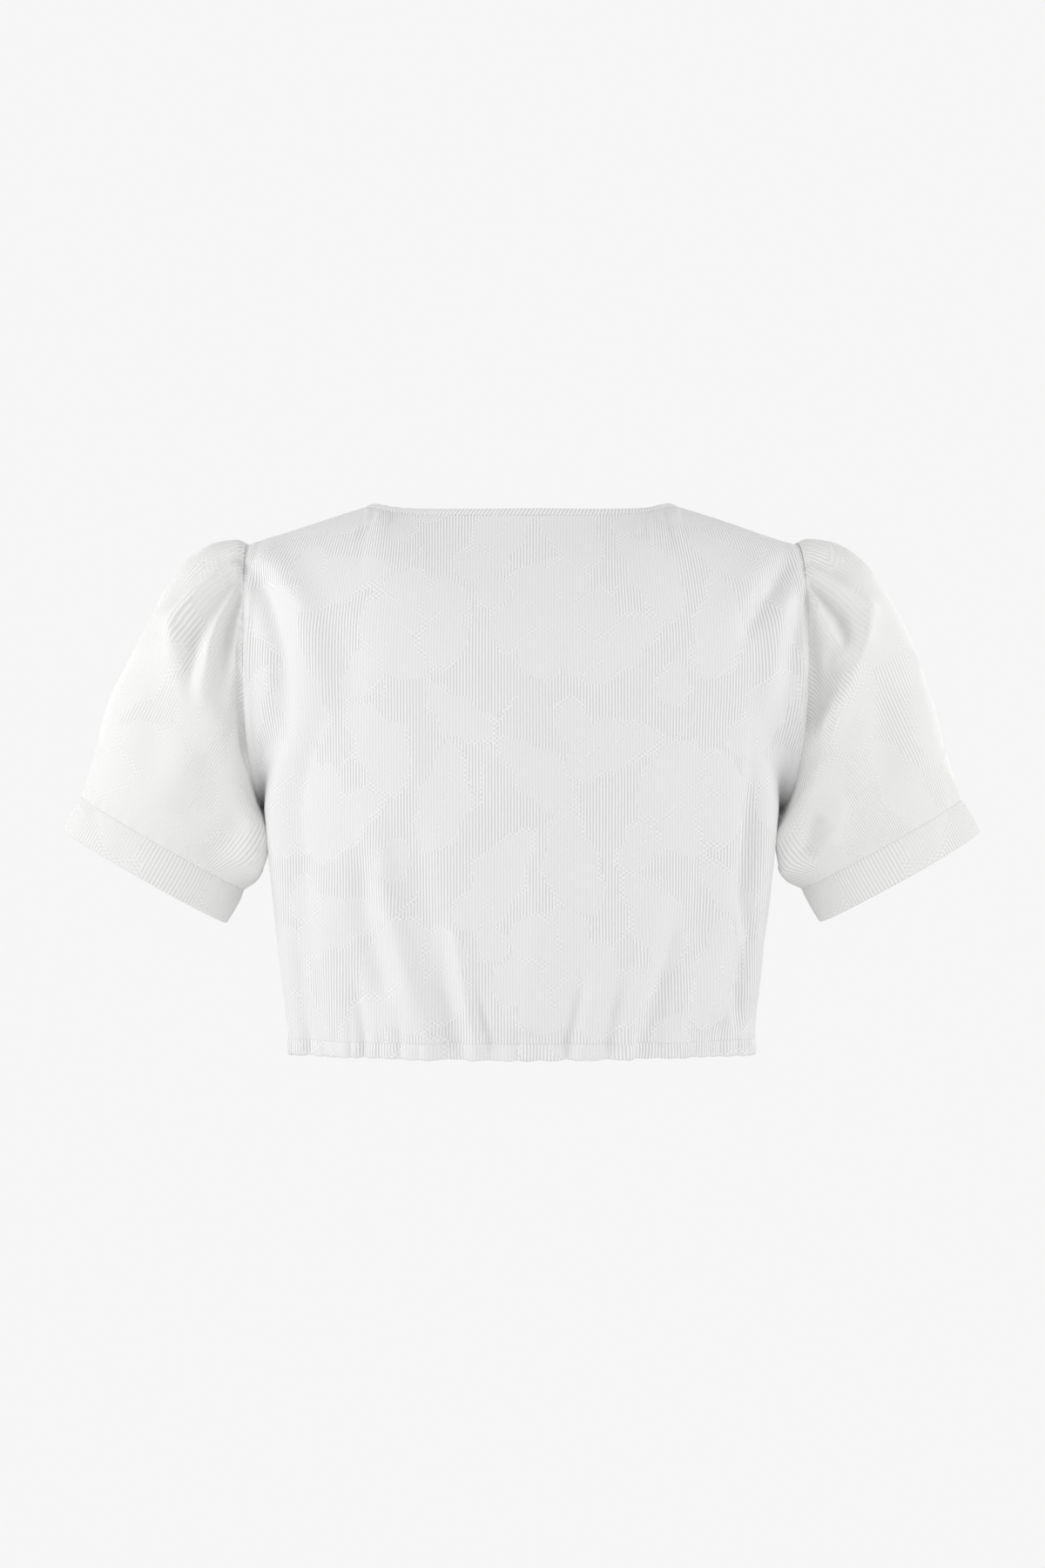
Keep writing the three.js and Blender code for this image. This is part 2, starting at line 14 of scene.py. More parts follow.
import bpy
import numpy as np
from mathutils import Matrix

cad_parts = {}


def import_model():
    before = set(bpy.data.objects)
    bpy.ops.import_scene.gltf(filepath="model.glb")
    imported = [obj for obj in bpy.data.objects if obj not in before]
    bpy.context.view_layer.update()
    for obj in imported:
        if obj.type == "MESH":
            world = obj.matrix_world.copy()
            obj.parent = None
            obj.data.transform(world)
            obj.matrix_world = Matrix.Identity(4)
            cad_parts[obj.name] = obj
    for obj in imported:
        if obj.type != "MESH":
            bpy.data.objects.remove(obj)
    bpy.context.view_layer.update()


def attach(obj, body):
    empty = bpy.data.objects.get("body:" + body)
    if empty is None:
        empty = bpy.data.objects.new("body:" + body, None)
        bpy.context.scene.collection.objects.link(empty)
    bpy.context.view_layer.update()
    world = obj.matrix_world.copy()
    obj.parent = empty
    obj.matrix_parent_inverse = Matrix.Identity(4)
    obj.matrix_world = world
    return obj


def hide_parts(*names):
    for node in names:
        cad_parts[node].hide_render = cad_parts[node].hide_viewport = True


LOG = logging.getLogger("blouse")
Array = np.ndarray
Path2D = Sequence[tuple[float, float]]

MM = 0.001

# The camera, in millimetres: its distance, its height below the neck points, its place beside the
# middle, and the height of what its frame takes in at the side seams
CAMERA_BACK = 2500.0
CAMERA_DROP = 200.0
CAMERA_SIDE = 0.63
FRAME_TALL = 1134.0


def linear_colour(code: str) -> tuple[float, float, float, float]:
    """Turns an sRGB hex colour into linear RGBA.

    Args:
        code: Six hex digits, with or without a leading hash.

    Returns:
        The linear red, green, blue and an alpha of one.
    """
    digits = code.lstrip("#")
    channels = [int(digits[i : i + 2], 16) / 255 for i in (0, 2, 4)]
    red, green, blue = (c / 12.92 if c <= 0.04045 else ((c + 0.055) / 1.055) ** 2.4 for c in channels)
    return red, green, blue, 1.0


def smoothstep(value: Array) -> Array:
    """Eases a number from 0 to 1 and holds it outside."""
    held = np.clip(value, 0.0, 1.0)
    return held * held * (3.0 - 2.0 * held)


def mix(a: Array, b: Array, share: Array) -> Array:
    """Goes from a to b by a share."""
    return a + (b - a) * share


def stack(x: Array, y: Array, z: Array) -> Array:
    """Puts three coordinate arrays together as points."""
    return np.stack(np.broadcast_arrays(x, y, z), axis=-1)


class Curve:
    """A monotone cubic through the rows of a short table."""

    def __init__(self, keys: Sequence[float], values: Sequence[float]) -> None:
        """Keeps the table and works out the slope at each row.

        Args:
            keys: Rising places along the curve.
            values: The value at each place.
        """
        self.keys = np.asarray(keys, float)
        self.values = np.asarray(values, float)
        steps = np.diff(self.values) / np.diff(self.keys)
        before, after = steps[:-1], steps[1:]
        total = np.where(before + after == 0, 1.0, before + after)
        middle = np.where(before * after <= 0, 0.0, 2 * before * after / total)
        self.slopes = np.concatenate([[steps[0]], middle, [steps[-1]]])

    def __call__(self, at: Array) -> Array:
        """Reads the curve.

        Args:
            at: Places along it, held between its two ends.

        Returns:
            The values there.
        """
        held = np.clip(at, self.keys[0], self.keys[-1])
        i = np.clip(np.searchsorted(self.keys, held, side="right") - 1, 0, len(self.keys) - 2)
        step = self.keys[i + 1] - self.keys[i]
        s = (held - self.keys[i]) / step
        rise = s * s * (3 - 2 * s)
        level = mix(self.values[i], self.values[i + 1], rise)
        lean = self.slopes[i] * s * (1 - s) ** 2 - self.slopes[i + 1] * s * s * (1 - s)
        return level + step * lean


def grid_normals(grid: Array, ring: bool, sign: float) -> Array:
    """Works out the outward normals of a grid of points.

    Args:
        grid: Points, as rows by columns by three.
        ring: True where each row closes on itself.
        sign: 1 or -1, to turn the normals to the outside.

    Returns:
        Unit normals in the grid's shape.
    """
    if ring:
        across = np.roll(grid, -1, axis=1) - np.roll(grid, 1, axis=1)
    else:
        across = np.gradient(grid, axis=1)
    along = np.gradient(grid, axis=0)
    normal = np.cross(across, along)
    length = np.linalg.norm(normal, axis=-1, keepdims=True)
    return sign * normal / np.maximum(length, 1e-9)


def seen_plane(points: Array) -> tuple[Array, Array]:
    """Moves points along the camera's lines of sight to the plane of the side seams.

    Args:
        points: Points in millimetres.

    Returns:
        Their X and Z in that plane, where the folds' paths are laid out.
    """
    scale = CAMERA_BACK / (CAMERA_BACK + points[..., 1])
    return points[..., 0] * scale, (points[..., 2] + CAMERA_DROP) * scale - CAMERA_DROP


@dataclass(frozen=True)
class Fold:
    """A soft ridge or trough that follows a path over the cloth.

    Attributes:
        path: Its course as (x, z), in millimetres.
        width: Its half width.
        height: How far it lifts the cloth, or sinks it where negative.
        fade_in: Share of the path over which it grows.
        fade_out: Share of the path over which it dies away.
        skew: How much steeper one of its sides is, from -1 to 1.
    """

    path: Path2D
    width: float
    height: float
    fade_in: float = 0.3
    fade_out: float = 0.0
    skew: float = 0.0

    def lift(self, x: Array, z: Array) -> Array:
        """Works out how far this fold lifts the cloth.

        Args:
            x: Places across.
            z: Places up.

        Returns:
            The lift in millimetres at each place.
        """
        best = np.full(x.shape, 1e9)
        share = np.zeros(x.shape)
        side = np.zeros(x.shape)
        spans = len(self.path) - 1
        for i in range(spans):
            (ax, az), (bx, bz) = self.path[i], self.path[i + 1]
            dx, dz = bx - ax, bz - az
            length = math.hypot(dx, dz)
            s = np.clip(((x - ax) * dx + (z - az) * dz) / length**2, 0, 1)
            away = np.hypot(x - ax - s * dx, z - az - s * dz)
            nearer = away < best
            share = np.where(nearer, (i + s) / spans, share)
            side = np.where(nearer, ((x - ax) * dz - (z - az) * dx) / length, side)
            best = np.where(nearer, away, best)
        width = self.width * (1.0 + self.skew * np.tanh(side / self.width))
        ends = smoothstep(share / self.fade_in) if self.fade_in else 1.0
        if self.fade_out:
            ends = ends * smoothstep((1 - share) / self.fade_out)
        return self.height * ends * np.exp(-((best / width) ** 2))


class ShapeKind(Enum):
    """The woven motifs' kinds."""

    PETAL = "petal"
    LEAF = "leaf"
    BUD = "bud"
    STEM = "stem"


@dataclass(frozen=True)
class Motif:
    """One woven motif in the cloth's repeat.

    Attributes:
        kind: What it is.
        x: Place across the repeat.
        y: Place up the repeat.
        length: Length.
        width: Width, or thickness of a stem.
        turn: Direction in degrees from across the cloth.
        bend: How far the middle bows sideways.
    """

    kind: ShapeKind
    x: float
    y: float
    length: float
    width: float
    turn: float = 90.0
    bend: float = 0.0


def bloom(x: float, y: float, count: int, reach: float, width: float, turn: float) -> list[Motif]:
    """Sets petals round a heart.

    Args:
        x: The heart's place across the repeat.
        y: The heart's place up the repeat.
        count: How many petals.
        reach: How far they reach.
        width: Width of a petal.
        turn: Direction of the first petal in degrees.

    Returns:
        The petals and the heart.
    """
    petals = []
    middle = reach * 0.56
    for i in range(count):
        angle = turn + i * 360 / count + 7 * math.sin(2.3 * i)
        across = x + middle * math.cos(math.radians(angle))
        up = y + middle * math.sin(math.radians(angle))
        petals.append(Motif(ShapeKind.PETAL, across, up, reach * 0.9, width, angle + 180, 2.0))
    return petals + [Motif(ShapeKind.BUD, x, y, reach * 0.4, reach * 0.4, turn)]


@dataclass(frozen=True)
class JacquardRepeat:
    """A free repeat of blooms, leaves, buds and stems, set in a half drop.

    Attributes:
        wide: Width of the repeat.
        tall: Height of the repeat.
        motifs: What lies in it.
    """

    wide: float = 196.0
    tall: float = 248.0
    motifs: tuple[Motif, ...] = (
        Motif(ShapeKind.STEM, 98, 62, 96, 1.6, 66, 12),
        Motif(ShapeKind.STEM, 54, 158, 118, 1.6, 84, -14),
        Motif(ShapeKind.STEM, 140, 112, 92, 1.6, 98, 12),
        Motif(ShapeKind.STEM, 120, 226, 74, 1.6, 28, -10),
        Motif(ShapeKind.STEM, 14, 214, 84, 1.6, 74, 10),
        Motif(ShapeKind.LEAF, 100, 40, 74, 36, 38, 6),
        Motif(ShapeKind.LEAF, 118, 96, 80, 38, 118, -8),
        Motif(ShapeKind.LEAF, 20, 128, 78, 36, 62, 7),
        Motif(ShapeKind.LEAF, 70, 142, 84, 38, 104, 8),
        Motif(ShapeKind.LEAF, 166, 62, 84, 37, 78, -6),
        Motif(ShapeKind.LEAF, 94, 214, 78, 36, 20, 8),
        Motif(ShapeKind.LEAF, 36, 198, 74, 34, 132, -6),
        Motif(ShapeKind.LEAF, 182, 122, 62, 28, 142, 5),
        Motif(ShapeKind.LEAF, 112, 158, 56, 27, 58, -5),
        Motif(ShapeKind.BUD, 136, 18, 33, 24, 70),
        Motif(ShapeKind.BUD, 8, 84, 30, 22, 110),
        Motif(ShapeKind.BUD, 64, 238, 34, 25, 95),
        Motif(ShapeKind.BUD, 190, 230, 32, 24, 60),
        *bloom(52, 62, 6, 45, 34, 12),
        *bloom(150, 184, 5, 41, 38, 40),
    )

    def local(self, motif: Motif, x: Array, y: Array) -> tuple[Array, Array]:
        """Turns places of the cloth into a motif's own along and across.

        Args:
            motif: The motif.
            x: Places across the cloth, from the motif's middle.
            y: Places up the cloth, from the motif's middle.

        Returns:
            Along from -1 to 1 at its two tips, and across in millimetres.
        """
        angle = math.radians(motif.turn)
        along = (x * math.cos(angle) + y * math.sin(angle)) / (motif.length / 2)
        across = -x * math.sin(angle) + y * math.cos(angle)
        return along, across - motif.bend * (1 - along**2)

    def leaf_edge(self, motif: Motif, along: Array, across: Array) -> Array:
        """Gives the distance inside a leaf's or bud's edge.

        Args:
            motif: The leaf or bud.
            along: Place along it.
            across: Place across it.

        Returns:
            Millimetres inside the edge, negative outside.
        """
        blunt = 0.78 if motif.kind is ShapeKind.LEAF else 0.55
        held = np.clip(along, -1, 1)
        half = motif.width / 2 * np.maximum(1 - held**2, 0) ** blunt * (1 - 0.28 * held)
        lobe = 0.06 * motif.width * np.cos(held * 9.0) * (1 - held**2)
        past = np.maximum(np.abs(along) - 1, 0) * motif.length / 2
        slope = 1 + (motif.width / motif.length) * np.abs(held) * 1.4
        return (half + lobe - np.abs(across)) / slope - past

    def read(self, across: Array, up: Array) -> tuple[Array, Array]:
        """Reads the repeat at places of the cloth, where a later motif lies over an earlier one.

        Args:
            across: Places across the cloth.
            up: Places up the cloth.

        Returns:
            Millimetres inside the nearest motif's edge, and to the nearest woven line that shows.
        """
        inside = np.full(across.shape, -8.0)
        line = np.full(across.shape, 8.0)
        column = np.floor(across / self.wide)
        x0 = across - column * self.wide
        for motif in self.motifs:
            for shift in (-1, 0, 1):
                drop = np.where((column + shift) % 2 == 0, 0.0, self.tall / 2)
                dx = x0 - motif.x - shift * self.wide
                dy = np.mod(up + drop - motif.y + self.tall / 2, self.tall) - self.tall / 2
                along, away = self.local(motif, dx, dy)
                if motif.kind is ShapeKind.STEM:
                    past = np.maximum(np.abs(along) - 1, 0) * motif.length / 2
                    line = np.minimum(line, np.abs(away) - motif.width / 2 + 0.9 + past)
                    continue
                edge = self.leaf_edge(motif, along, away)
                inside = np.maximum(inside, edge)
                line = np.minimum(line + 8 * smoothstep(edge / 1.5), np.abs(edge))
                if motif.kind is ShapeKind.LEAF:
                    vein = np.abs(away) + 0.7 + 8 * np.clip(np.abs(along) - 0.66, 0, 1)
                    line = np.minimum(line, np.where(edge > 0, vein, 8.0))
        return np.clip(inside, -8, 8), np.clip(line, 0, 8)


@dataclass(frozen=True)
class Grain:
    """How the cloth lies on a piece: where its ribs run and where its repeat starts.

    Attributes:
        turn: Angle of the ribs from the piece's length, in degrees.
        start_across: Shift of the repeat across.
        start_up: Shift of the repeat up.
    """

    turn: float = 0.0
    start_across: float = 0.0
    start_up: float = 0.0

    def lay(self, across: Array, up: Array) -> tuple[Array, Array]:
        """Turns a piece's own lengths into the cloth's.

        Args:
            across: Lengths across the piece.
            up: Lengths up the piece.

        Returns:
            Lengths across and up the cloth.
        """
        angle = math.radians(self.turn)
        x = across * math.cos(angle) + up * math.sin(angle)
        y = up * math.cos(angle) - across * math.sin(angle)
        return x + self.start_across, y + self.start_up


@dataclass
class ClothShell:
    """A closed cloth wall under a grid of outer points.

    Attributes:
        name: The piece's name.
        outer: Outer points in millimetres, as rows by columns by three.
        inner: Inner points in the same shape, or None on a folded band.
        across: Lengths across the cloth, with one more column than outer on a ring.
        up: Lengths up the cloth, in the same shape as across.
        ring: True where each row closes on itself.
        flip: True where the faces have to be turned to point out.
        tube: True where the first and last rows meet too, as on a folded band.
        repeat: The woven repeat.
    """

    name: str
    outer: Array
    inner: Array | None
    across: Array
    up: Array
    ring: bool
    flip: bool
    tube: bool = False
    repeat: JacquardRepeat = field(default_factory=JacquardRepeat)

    def corner_grid(self, rows: int, columns: int) -> tuple[Array, Array, Array]:
        """Lists the quads of one layer.

        Args:
            rows: Rows of points.
            columns: Columns of points.

        Returns:
            The four point numbers of each quad, and the rows and columns of its corners.
        """
        spans = columns if self.ring else columns - 1
        bands = rows if self.tube else rows - 1
        r, c = np.meshgrid(np.arange(bands), np.arange(spans), indexing="ij")
        r_corner = np.stack([r, r, r + 1, r + 1], axis=-1).reshape(-1, 4)
        c_corner = np.stack([c, c + 1, c + 1, c], axis=-1).reshape(-1, 4)
        index = (r_corner % rows) * columns + c_corner % columns
        return index, r_corner, c_corner

    def rims(self, rows: int, columns: int) -> list[Array]:
        """Lists the strips of quads that close the wall's edges.

        Args:
            rows: Rows of points.
            columns: Columns of points.

        Returns:
            Arrays of rows and columns and layers of each quad's corners.
        """
        strips = []
        spans = columns if self.ring else columns - 1
        c = np.arange(spans)
        low = [(0, c, 0), (0, c, 1), (0, c + 1, 1), (0, c + 1, 0)]
        high = [(rows - 1, c, 0), (rows - 1, c + 1, 0), (rows - 1, c + 1, 1), (rows - 1, c, 1)]
        sides = [low, high]
        if not self.ring:
            r = np.arange(rows - 1)
            end = columns - 1
            sides.append([(r, 0, 0), (r + 1, 0, 0), (r + 1, 0, 1), (r, 0, 1)])
            sides.append([(r, end, 0), (r, end, 1), (r + 1, end, 1), (r + 1, end, 0)])
        for corners in sides:
            parts = [np.stack(np.broadcast_arrays(*corner), axis=-1) for corner in corners]
            strips.append(np.stack(parts, axis=1))
        return strips

    def borders(self, mesh: bpy.types.Mesh, rows: int, columns: int) -> Array:
        """Finds the edges along the wall's borders.

        Args:
            mesh: The mesh.
            rows: Rows of points.
            columns: Columns of points.

        Returns:
            True for each edge that lies on a border.
        """
        ends = np.zeros(2 * len(mesh.edges), np.int32)
        mesh.edges.foreach_get("vertices", ends)
        row, column = np.divmod(ends.reshape(-1, 2), columns)
        row = row % rows
        on = np.zeros(len(row), bool)
        for level in (0, rows - 1):
            on |= (row == level).all(axis=1)
        if not self.ring:
            for place in (0, columns - 1):
                on |= (column == place).all(axis=1)
        return on

    def build(self) -> bpy.types.Object:
        """Makes the mesh with its cloth map and its woven distances.

        Returns:
            The piece's object, at the origin.
        """
        rows, columns = self.outer.shape[:2]
        index, r, c = self.corner_grid(rows, columns)
        points = self.outer.reshape(-1, 3)
        quads = [index]
        r_all = [r]
        c_all = [c]
        if self.inner is not None:
            points = np.concatenate([points, self.inner.reshape(-1, 3)])
            quads.append(index[:, ::-1] + rows * columns)
            r_all.append(r[:, ::-1])
            c_all.append(c[:, ::-1])
            for strip in self.rims(rows, columns):
                rr, cc, layer = strip[..., 0], strip[..., 1], strip[..., 2]
                quads.append(layer * rows * columns + rr * columns + cc % columns)
                r_all.append(rr)
                c_all.append(cc)
        faces = np.concatenate(quads)
        rr = np.concatenate(r_all)
        cc = np.concatenate(c_all)
        if self.flip:
            faces, rr, cc = faces[:, ::-1], rr[:, ::-1], cc[:, ::-1]
        mesh = bpy.data.meshes.new(self.name)
        mesh.vertices.add(len(points))
        mesh.vertices.foreach_set("co", (points * MM).astype(np.float32).ravel())
        mesh.loops.add(faces.size)
        mesh.loops.foreach_set("vertex_index", faces.astype(np.int32).ravel())
        mesh.polygons.add(len(faces))
        mesh.polygons.foreach_set("loop_start", np.arange(0, faces.size, 4, dtype=np.int32))
        mesh.update(calc_edges=True)
        smooth = np.zeros(len(mesh.polygons), bool)
        smooth[: len(index) * (1 if self.inner is None else 2)] = True
        if self.tube:
            smooth[-columns:] = False
        mesh.polygons.foreach_set("use_smooth", smooth)
        sharp = mesh.attributes.new("sharp_edge", "BOOLEAN", "EDGE")
        sharp.data.foreach_set("value", self.borders(mesh, rows, columns))
        cloth = mesh.uv_layers.new(name="cloth")
        spot = np.stack([self.across[rr, cc], self.up[rr, cc]], axis=-1) * MM
        cloth.data.foreach_set("uv", spot.astype(np.float32).ravel())
        inside, line = self.repeat.read(self.across[:, :columns], self.up[:, :columns])
        for name, values in (("motif", inside), ("line", line)):
            layers = [values[:rows].ravel()] * (1 if self.inner is None else 2)
            attribute = mesh.attributes.new(name, "FLOAT", "POINT")
            attribute.data.foreach_set("value", np.concatenate(layers).astype(np.float32))
        made = bpy.data.objects.new(self.name, mesh)
        bpy.context.scene.collection.objects.link(made)
        return made


@dataclass(frozen=True)
class PanelCut:
    """What differs between the back panel and the front panel.

    Attributes:
        side: -1 for the back, 1 for the front.
        neck_depth: Depth of the neckline's middle.
        neck_z: Height of the neckline's middle.
        neck_curve: How late the neckline rises to the shoulder.
        blade_depth: Depth of the middle at the shoulder blades or upper chest.
        blade_z: Height of that middle.
        sweep: Degrees that the cloth turns from the middle to the armhole.
        depths: Depth of the middle at each height in Bodice.heights.
    """

    side: int
    neck_depth: float
    neck_z: float
    neck_curve: float
    blade_depth: float
    blade_z: float
    sweep: float
    depths: tuple[float, ...]


BACK_CUT = PanelCut(-1, 60.5, -10.2, 4.0, 103, -118, 60, (94, 95.5, 98.5, 101.5, 104, 105.5, 106.5, 106.5))
FRONT_CUT = PanelCut(1, 86, -80, 2.2, 119, -152, 61, (107, 109, 113, 118, 122.5, 126, 128, 128))


@dataclass
class Bodice:
    """The back and front panels, from the casing to the neck and shoulder seams, in millimetres.

    Attributes:
        neck_half: Half the neck opening's width.
        neck_side_z: Height of the neck edge at the shoulder seam.
        shoulder_half: Half the width from shoulder end to shoulder end.
        shoulder_z: Height of the shoulder seam's outer end.
        armhole_left: Half width at the left armhole's middle.
        armhole_right: Half width at the right armhole's middle.
        armhole_depth: How far the armhole's edges stand from the side seams' plane.
        armhole_z: Height of the armholes' middle.
        underarm_z: Height of the underarm seam.
        casing_top: Height of the casing's upper edge.
        hem_z: Height of the hem.
        shoulder_share: Share of a panel's half width that lies inside the neck.
        squareness: Power of the girth's rounded outline, 2 for an ellipse.
        side_square: What is added to that power at the sides.
        cloth: Thickness of the cloth.
        heights: Heights of the girth tables' rows.
        halves: Half width of the body at each height.
        columns: Columns of points between a panel's close edge columns.
        rows: Rows of points below the underarm, up to the blades and up to the top.
        hem_gathers: Gathers round the hem.
        half_cloth: Cloth from a panel's middle to its side.
        upper_cloth: Cloth in each stretch above the blades or below the underarm, as seen by the seams.
        lower_cloth: The same, as seen by the casing.
        back_folds: Folds of the back.
        front_folds: Folds of the front.
    """

    neck_half: float = 112.0
    neck_side_z: float = 0.3
    shoulder_half: float = 197.0
    shoulder_z: float = -27.2
    armhole_left: float = 197.0
    armhole_right: float = 203.0
    armhole_depth: float = 51.0
    armhole_z: float = -120.0
    underarm_z: float = -218.0
    casing_top: float = -381.0
    hem_z: float = -392.6
    shoulder_share: float = 0.5
    squareness: float = 2.25
    side_square: float = 1.4
    cloth: float = 0.9
    heights: tuple[float, ...] = (-394, -381, -360, -330, -300, -273, -245, -218)
    halves: tuple[float, ...] = (166.2, 167.4, 169.6, 173.4, 176.4, 179.2, 182.2, 184.5)
    columns: int = 250
    rows: tuple[int, int, int] = (70, 38, 50)
    hem_gathers: int = 74
    half_cloth: float = 225.0
    upper_cloth: float = 118.0
    lower_cloth: float = 163.0
    back_folds: tuple[Fold, ...] = (
        Fold([(-192, -40), (-182, -66), (-174, -100), (-172, -140), (-172, -190)], 8.5, -4.4, 0.15, 0.35),
        Fold([(-195, -32), (-174, -48), (-159, -70), (-149, -108), (-143, -156)], 12, 5.2, 0.12, 0.5),
        Fold([(-134, -70), (-128, -120), (-120, -176)], 17, -2.88, 0.4, 0.4),
        Fold([(-108, -212), (-99, -280), (-80, -350), (-69, -384)], 9, 4.4, 0.3, 0.0, 0.3),
        Fold([(-117, -236), (-112, -300), (-94, -364)], 10, -3.8, 0.3, 0.2),
        Fold([(-80, -196), (-77, -270), (-60, -340), (-50, -384)], 14, -3.6, 0.4, 0.0),
        Fold([(-52, -288), (-43, -336), (-32, -384)], 6.5, 3.6, 0.4, 0.0),
        Fold([(-40, -326), (-32, -360), (-24, -388)], 5.5, -4.6, 0.7, 0.0),
        Fold([(-62, -330), (-54, -360), (-48, -386)], 6, -2.4, 0.5, 0.0),
        Fold([(-6, -130), (-2, -180), (4, -236)], 26, 2.52, 0.4, 0.4),
        Fold([(18, -220), (14, -290), (8, -352), (2, -384)], 15, 2.9, 0.3, 0.1),
        Fold([(46, -326), (41, -358), (34, -386)], 5.5, -4.6, 0.7, 0.0),
        Fold([(60, -286), (54, -338), (45, -384)], 8, 3.0, 0.5, 0.0),
        Fold([(104, -256), (94, -306), (82, -350), (75, -386)], 7.5, 4.4, 0.4, 0.0, -0.3),
        Fold([(116, -276), (108, -318), (95, -360), (88, -386)], 8, -4.0, 0.4, 0.0),
        Fold([(74, -330), (68, -362), (64, -386)], 5, -2.6, 0.5, 0.0),
        Fold(
            [(160, -150), (153, -204), (147, -280), (154, -308), (144, -336), (147, -384)],
            11, 6.8, 0.2, 0.1, 0.6,
        ),
        Fold(
            [(169, -176), (162, -232), (157, -290), (163, -314), (154, -350), (157, -384)],
            8, -5.5, 0.25, 0.15, -0.4,
        ),
        Fold([(134, -226), (130, -286), (128, -350)], 11, -2.7, 0.4, 0.3),
        Fold([(197, -32), (182, -56), (166, -84), (158, -104)], 7, -3.6, 0.15, 0.4),
        Fold([(198, -50), (186, -82), (179, -126), (175, -171)], 7, 4.4, 0.2, 0.4),
        Fold([(201, -74), (197, -103), (191, -150), (184, -190)], 6, -3.0, 0.3, 0.3),
        Fold([(180, -34), (160, -60), (140, -100)], 12, 3.4, 0.3, 0.4),
        Fold([(104, -4), (108, -18), (114, -36)], 3.2, -1.61, 0.0, 0.5),
        Fold([(96, -6), (98, -22), (101, -40)], 4.5, 0.99, 0.0, 0.5),
        Fold([(90, -7), (91, -20), (92, -34)], 2.6, -0.93, 0.0, 0.6),
        Fold([(82, -8), (82, -18), (83, -28)], 2.4, -0.74, 0.0, 0.6),
        Fold([(-108, -4), (-112, -14), (-120, -28)], 3.6, -1.74, 0.0, 0.5),
        Fold([(-98, -7), (-102, -22), (-110, -46)], 5, 0.87, 0.0, 0.5),
        Fold([(-164, -300), (-160, -344), (-156, -384)], 7, -2.4, 0.4, 0.0),
        Fold([(-148, -250), (-141, -320), (-132, -384)], 12, 3.0, 0.4, 0.0),
        Fold([(-124, -330), (-118, -362), (-113, -386)], 5, -2.2, 0.5, 0.0),
        Fold([(120, -336), (116, -364), (112, -386)], 5, 2.2, 0.5, 0.0),
    )
    front_folds: tuple[Fold, ...] = (
        Fold([(-194, -50), (-176, -120), (-166, -200)], 10, -4.0, 0.2, 0.3),
        Fold([(194, -50), (176, -120), (168, -205)], 10, -4.0, 0.2, 0.3),
        Fold([(-186, -40), (-162, -100), (-150, -190)], 15, 4.0, 0.2, 0.4),
        Fold([(186, -40), (160, -100), (150, -190)], 15, 4.0, 0.2, 0.4),
        Fold([(-128, -190), (-112, -290), (-90, -382)], 12, 4.5),
        Fold([(-100, -240), (-80, -310), (-62, -382)], 10, -4.0),
        Fold([(-40, -260), (-30, -330), (-34, -382)], 12, 4.0),
        Fold([(-8, -270), (-4, -330), (2, -382)], 10, -3.5),
        Fold([(36, -230), (30, -310), (24, -382)], 12, 4.0),
        Fold([(74, -280), (66, -330), (58, -382)], 9, -4.0),
        Fold([(122, -200), (112, -290), (94, -382)], 12, 4.5),
        Fold([(150, -250), (144, -320), (136, -382)], 10, -4.0),
        Fold([(-150, -250), (-146, -320), (-140, -382)], 10, -4.0),
        Fold([(-60, -86), (-40, -120), (-20, -160)], 14, 2.0, 0.3, 0.5),
        Fold([(64, -80), (42, -120), (24, -164)], 14, 2.0, 0.3, 0.5),
    )

    def __post_init__(self) -> None:
        """Prepares the girth tables' curves and a place for the panels' last rows."""
        self.half_at = Curve(self.heights, self.halves)
        self.hem_rows: dict[int, tuple[Array, Array]] = {}
        self.depth_at = {cut.side: Curve(self.heights, cut.depths) for cut in (BACK_CUT, FRONT_CUT)}

    def girth(self, cut: PanelCut, turn: Array, z: Array) -> Array:
        """Gives points of the body's girth.

        Args:
            cut: The panel.
            turn: 0 at the middle and 1 or -1 at a side seam.
            z: Height.

        Returns:
            Points in millimetres.
        """
        angle = turn * math.pi / 2
        across, along = np.abs(np.sin(angle)), np.abs(np.cos(angle))
        square = self.squareness + self.side_square * smoothstep((across - 0.8) / 0.14)
        reach = (across**square + along**square) ** (-1 / square)
        depth = self.depth_at[cut.side](z)
        return stack(self.half_at(z) * reach * np.sin(angle), cut.side * depth * reach * along, z)

    def blade(self, cut: PanelCut, u: Array) -> Array:
        """Gives points of the level at the shoulder blades or upper chest."""
        sweep = math.radians(cut.sweep)
        middle = (np.cos(sweep * u) - math.cos(sweep)) / (1 - math.cos(sweep))
        reach = np.where(u < 0, self.armhole_left, self.armhole_right)
        x = reach * np.sin(sweep * u) / math.sin(sweep)
        y = cut.side * mix(self.armhole_depth, cut.blade_depth, middle)
        return stack(x, y, mix(self.armhole_z, cut.blade_z, np.cos(u * math.pi / 2) ** 2))

    def top(self, cut: PanelCut, u: Array) -> Array:
        """Gives points of the neckline and the shoulder seams."""
        out = np.abs(u)
        sign = np.where(u < 0, -1.0, 1.0)
        share = np.clip((out - self.shoulder_share) / (1 - self.shoulder_share), 0, 1)
        angle = np.clip(out / self.shoulder_share, 0, 1) * math.pi / 2
        neck = stack(
            sign * self.neck_half * np.sin(angle),
            cut.side * cut.neck_depth * np.cos(angle),
            mix(cut.neck_z, self.neck_side_z, np.sin(angle) ** cut.neck_curve),
        )
        shoulder = stack(
            sign * mix(self.neck_half, self.shoulder_half, share),
            0.0 * out,
            mix(self.neck_side_z, self.shoulder_z, share),
        )
        return np.where((out >= self.shoulder_share)[..., None], shoulder, neck)

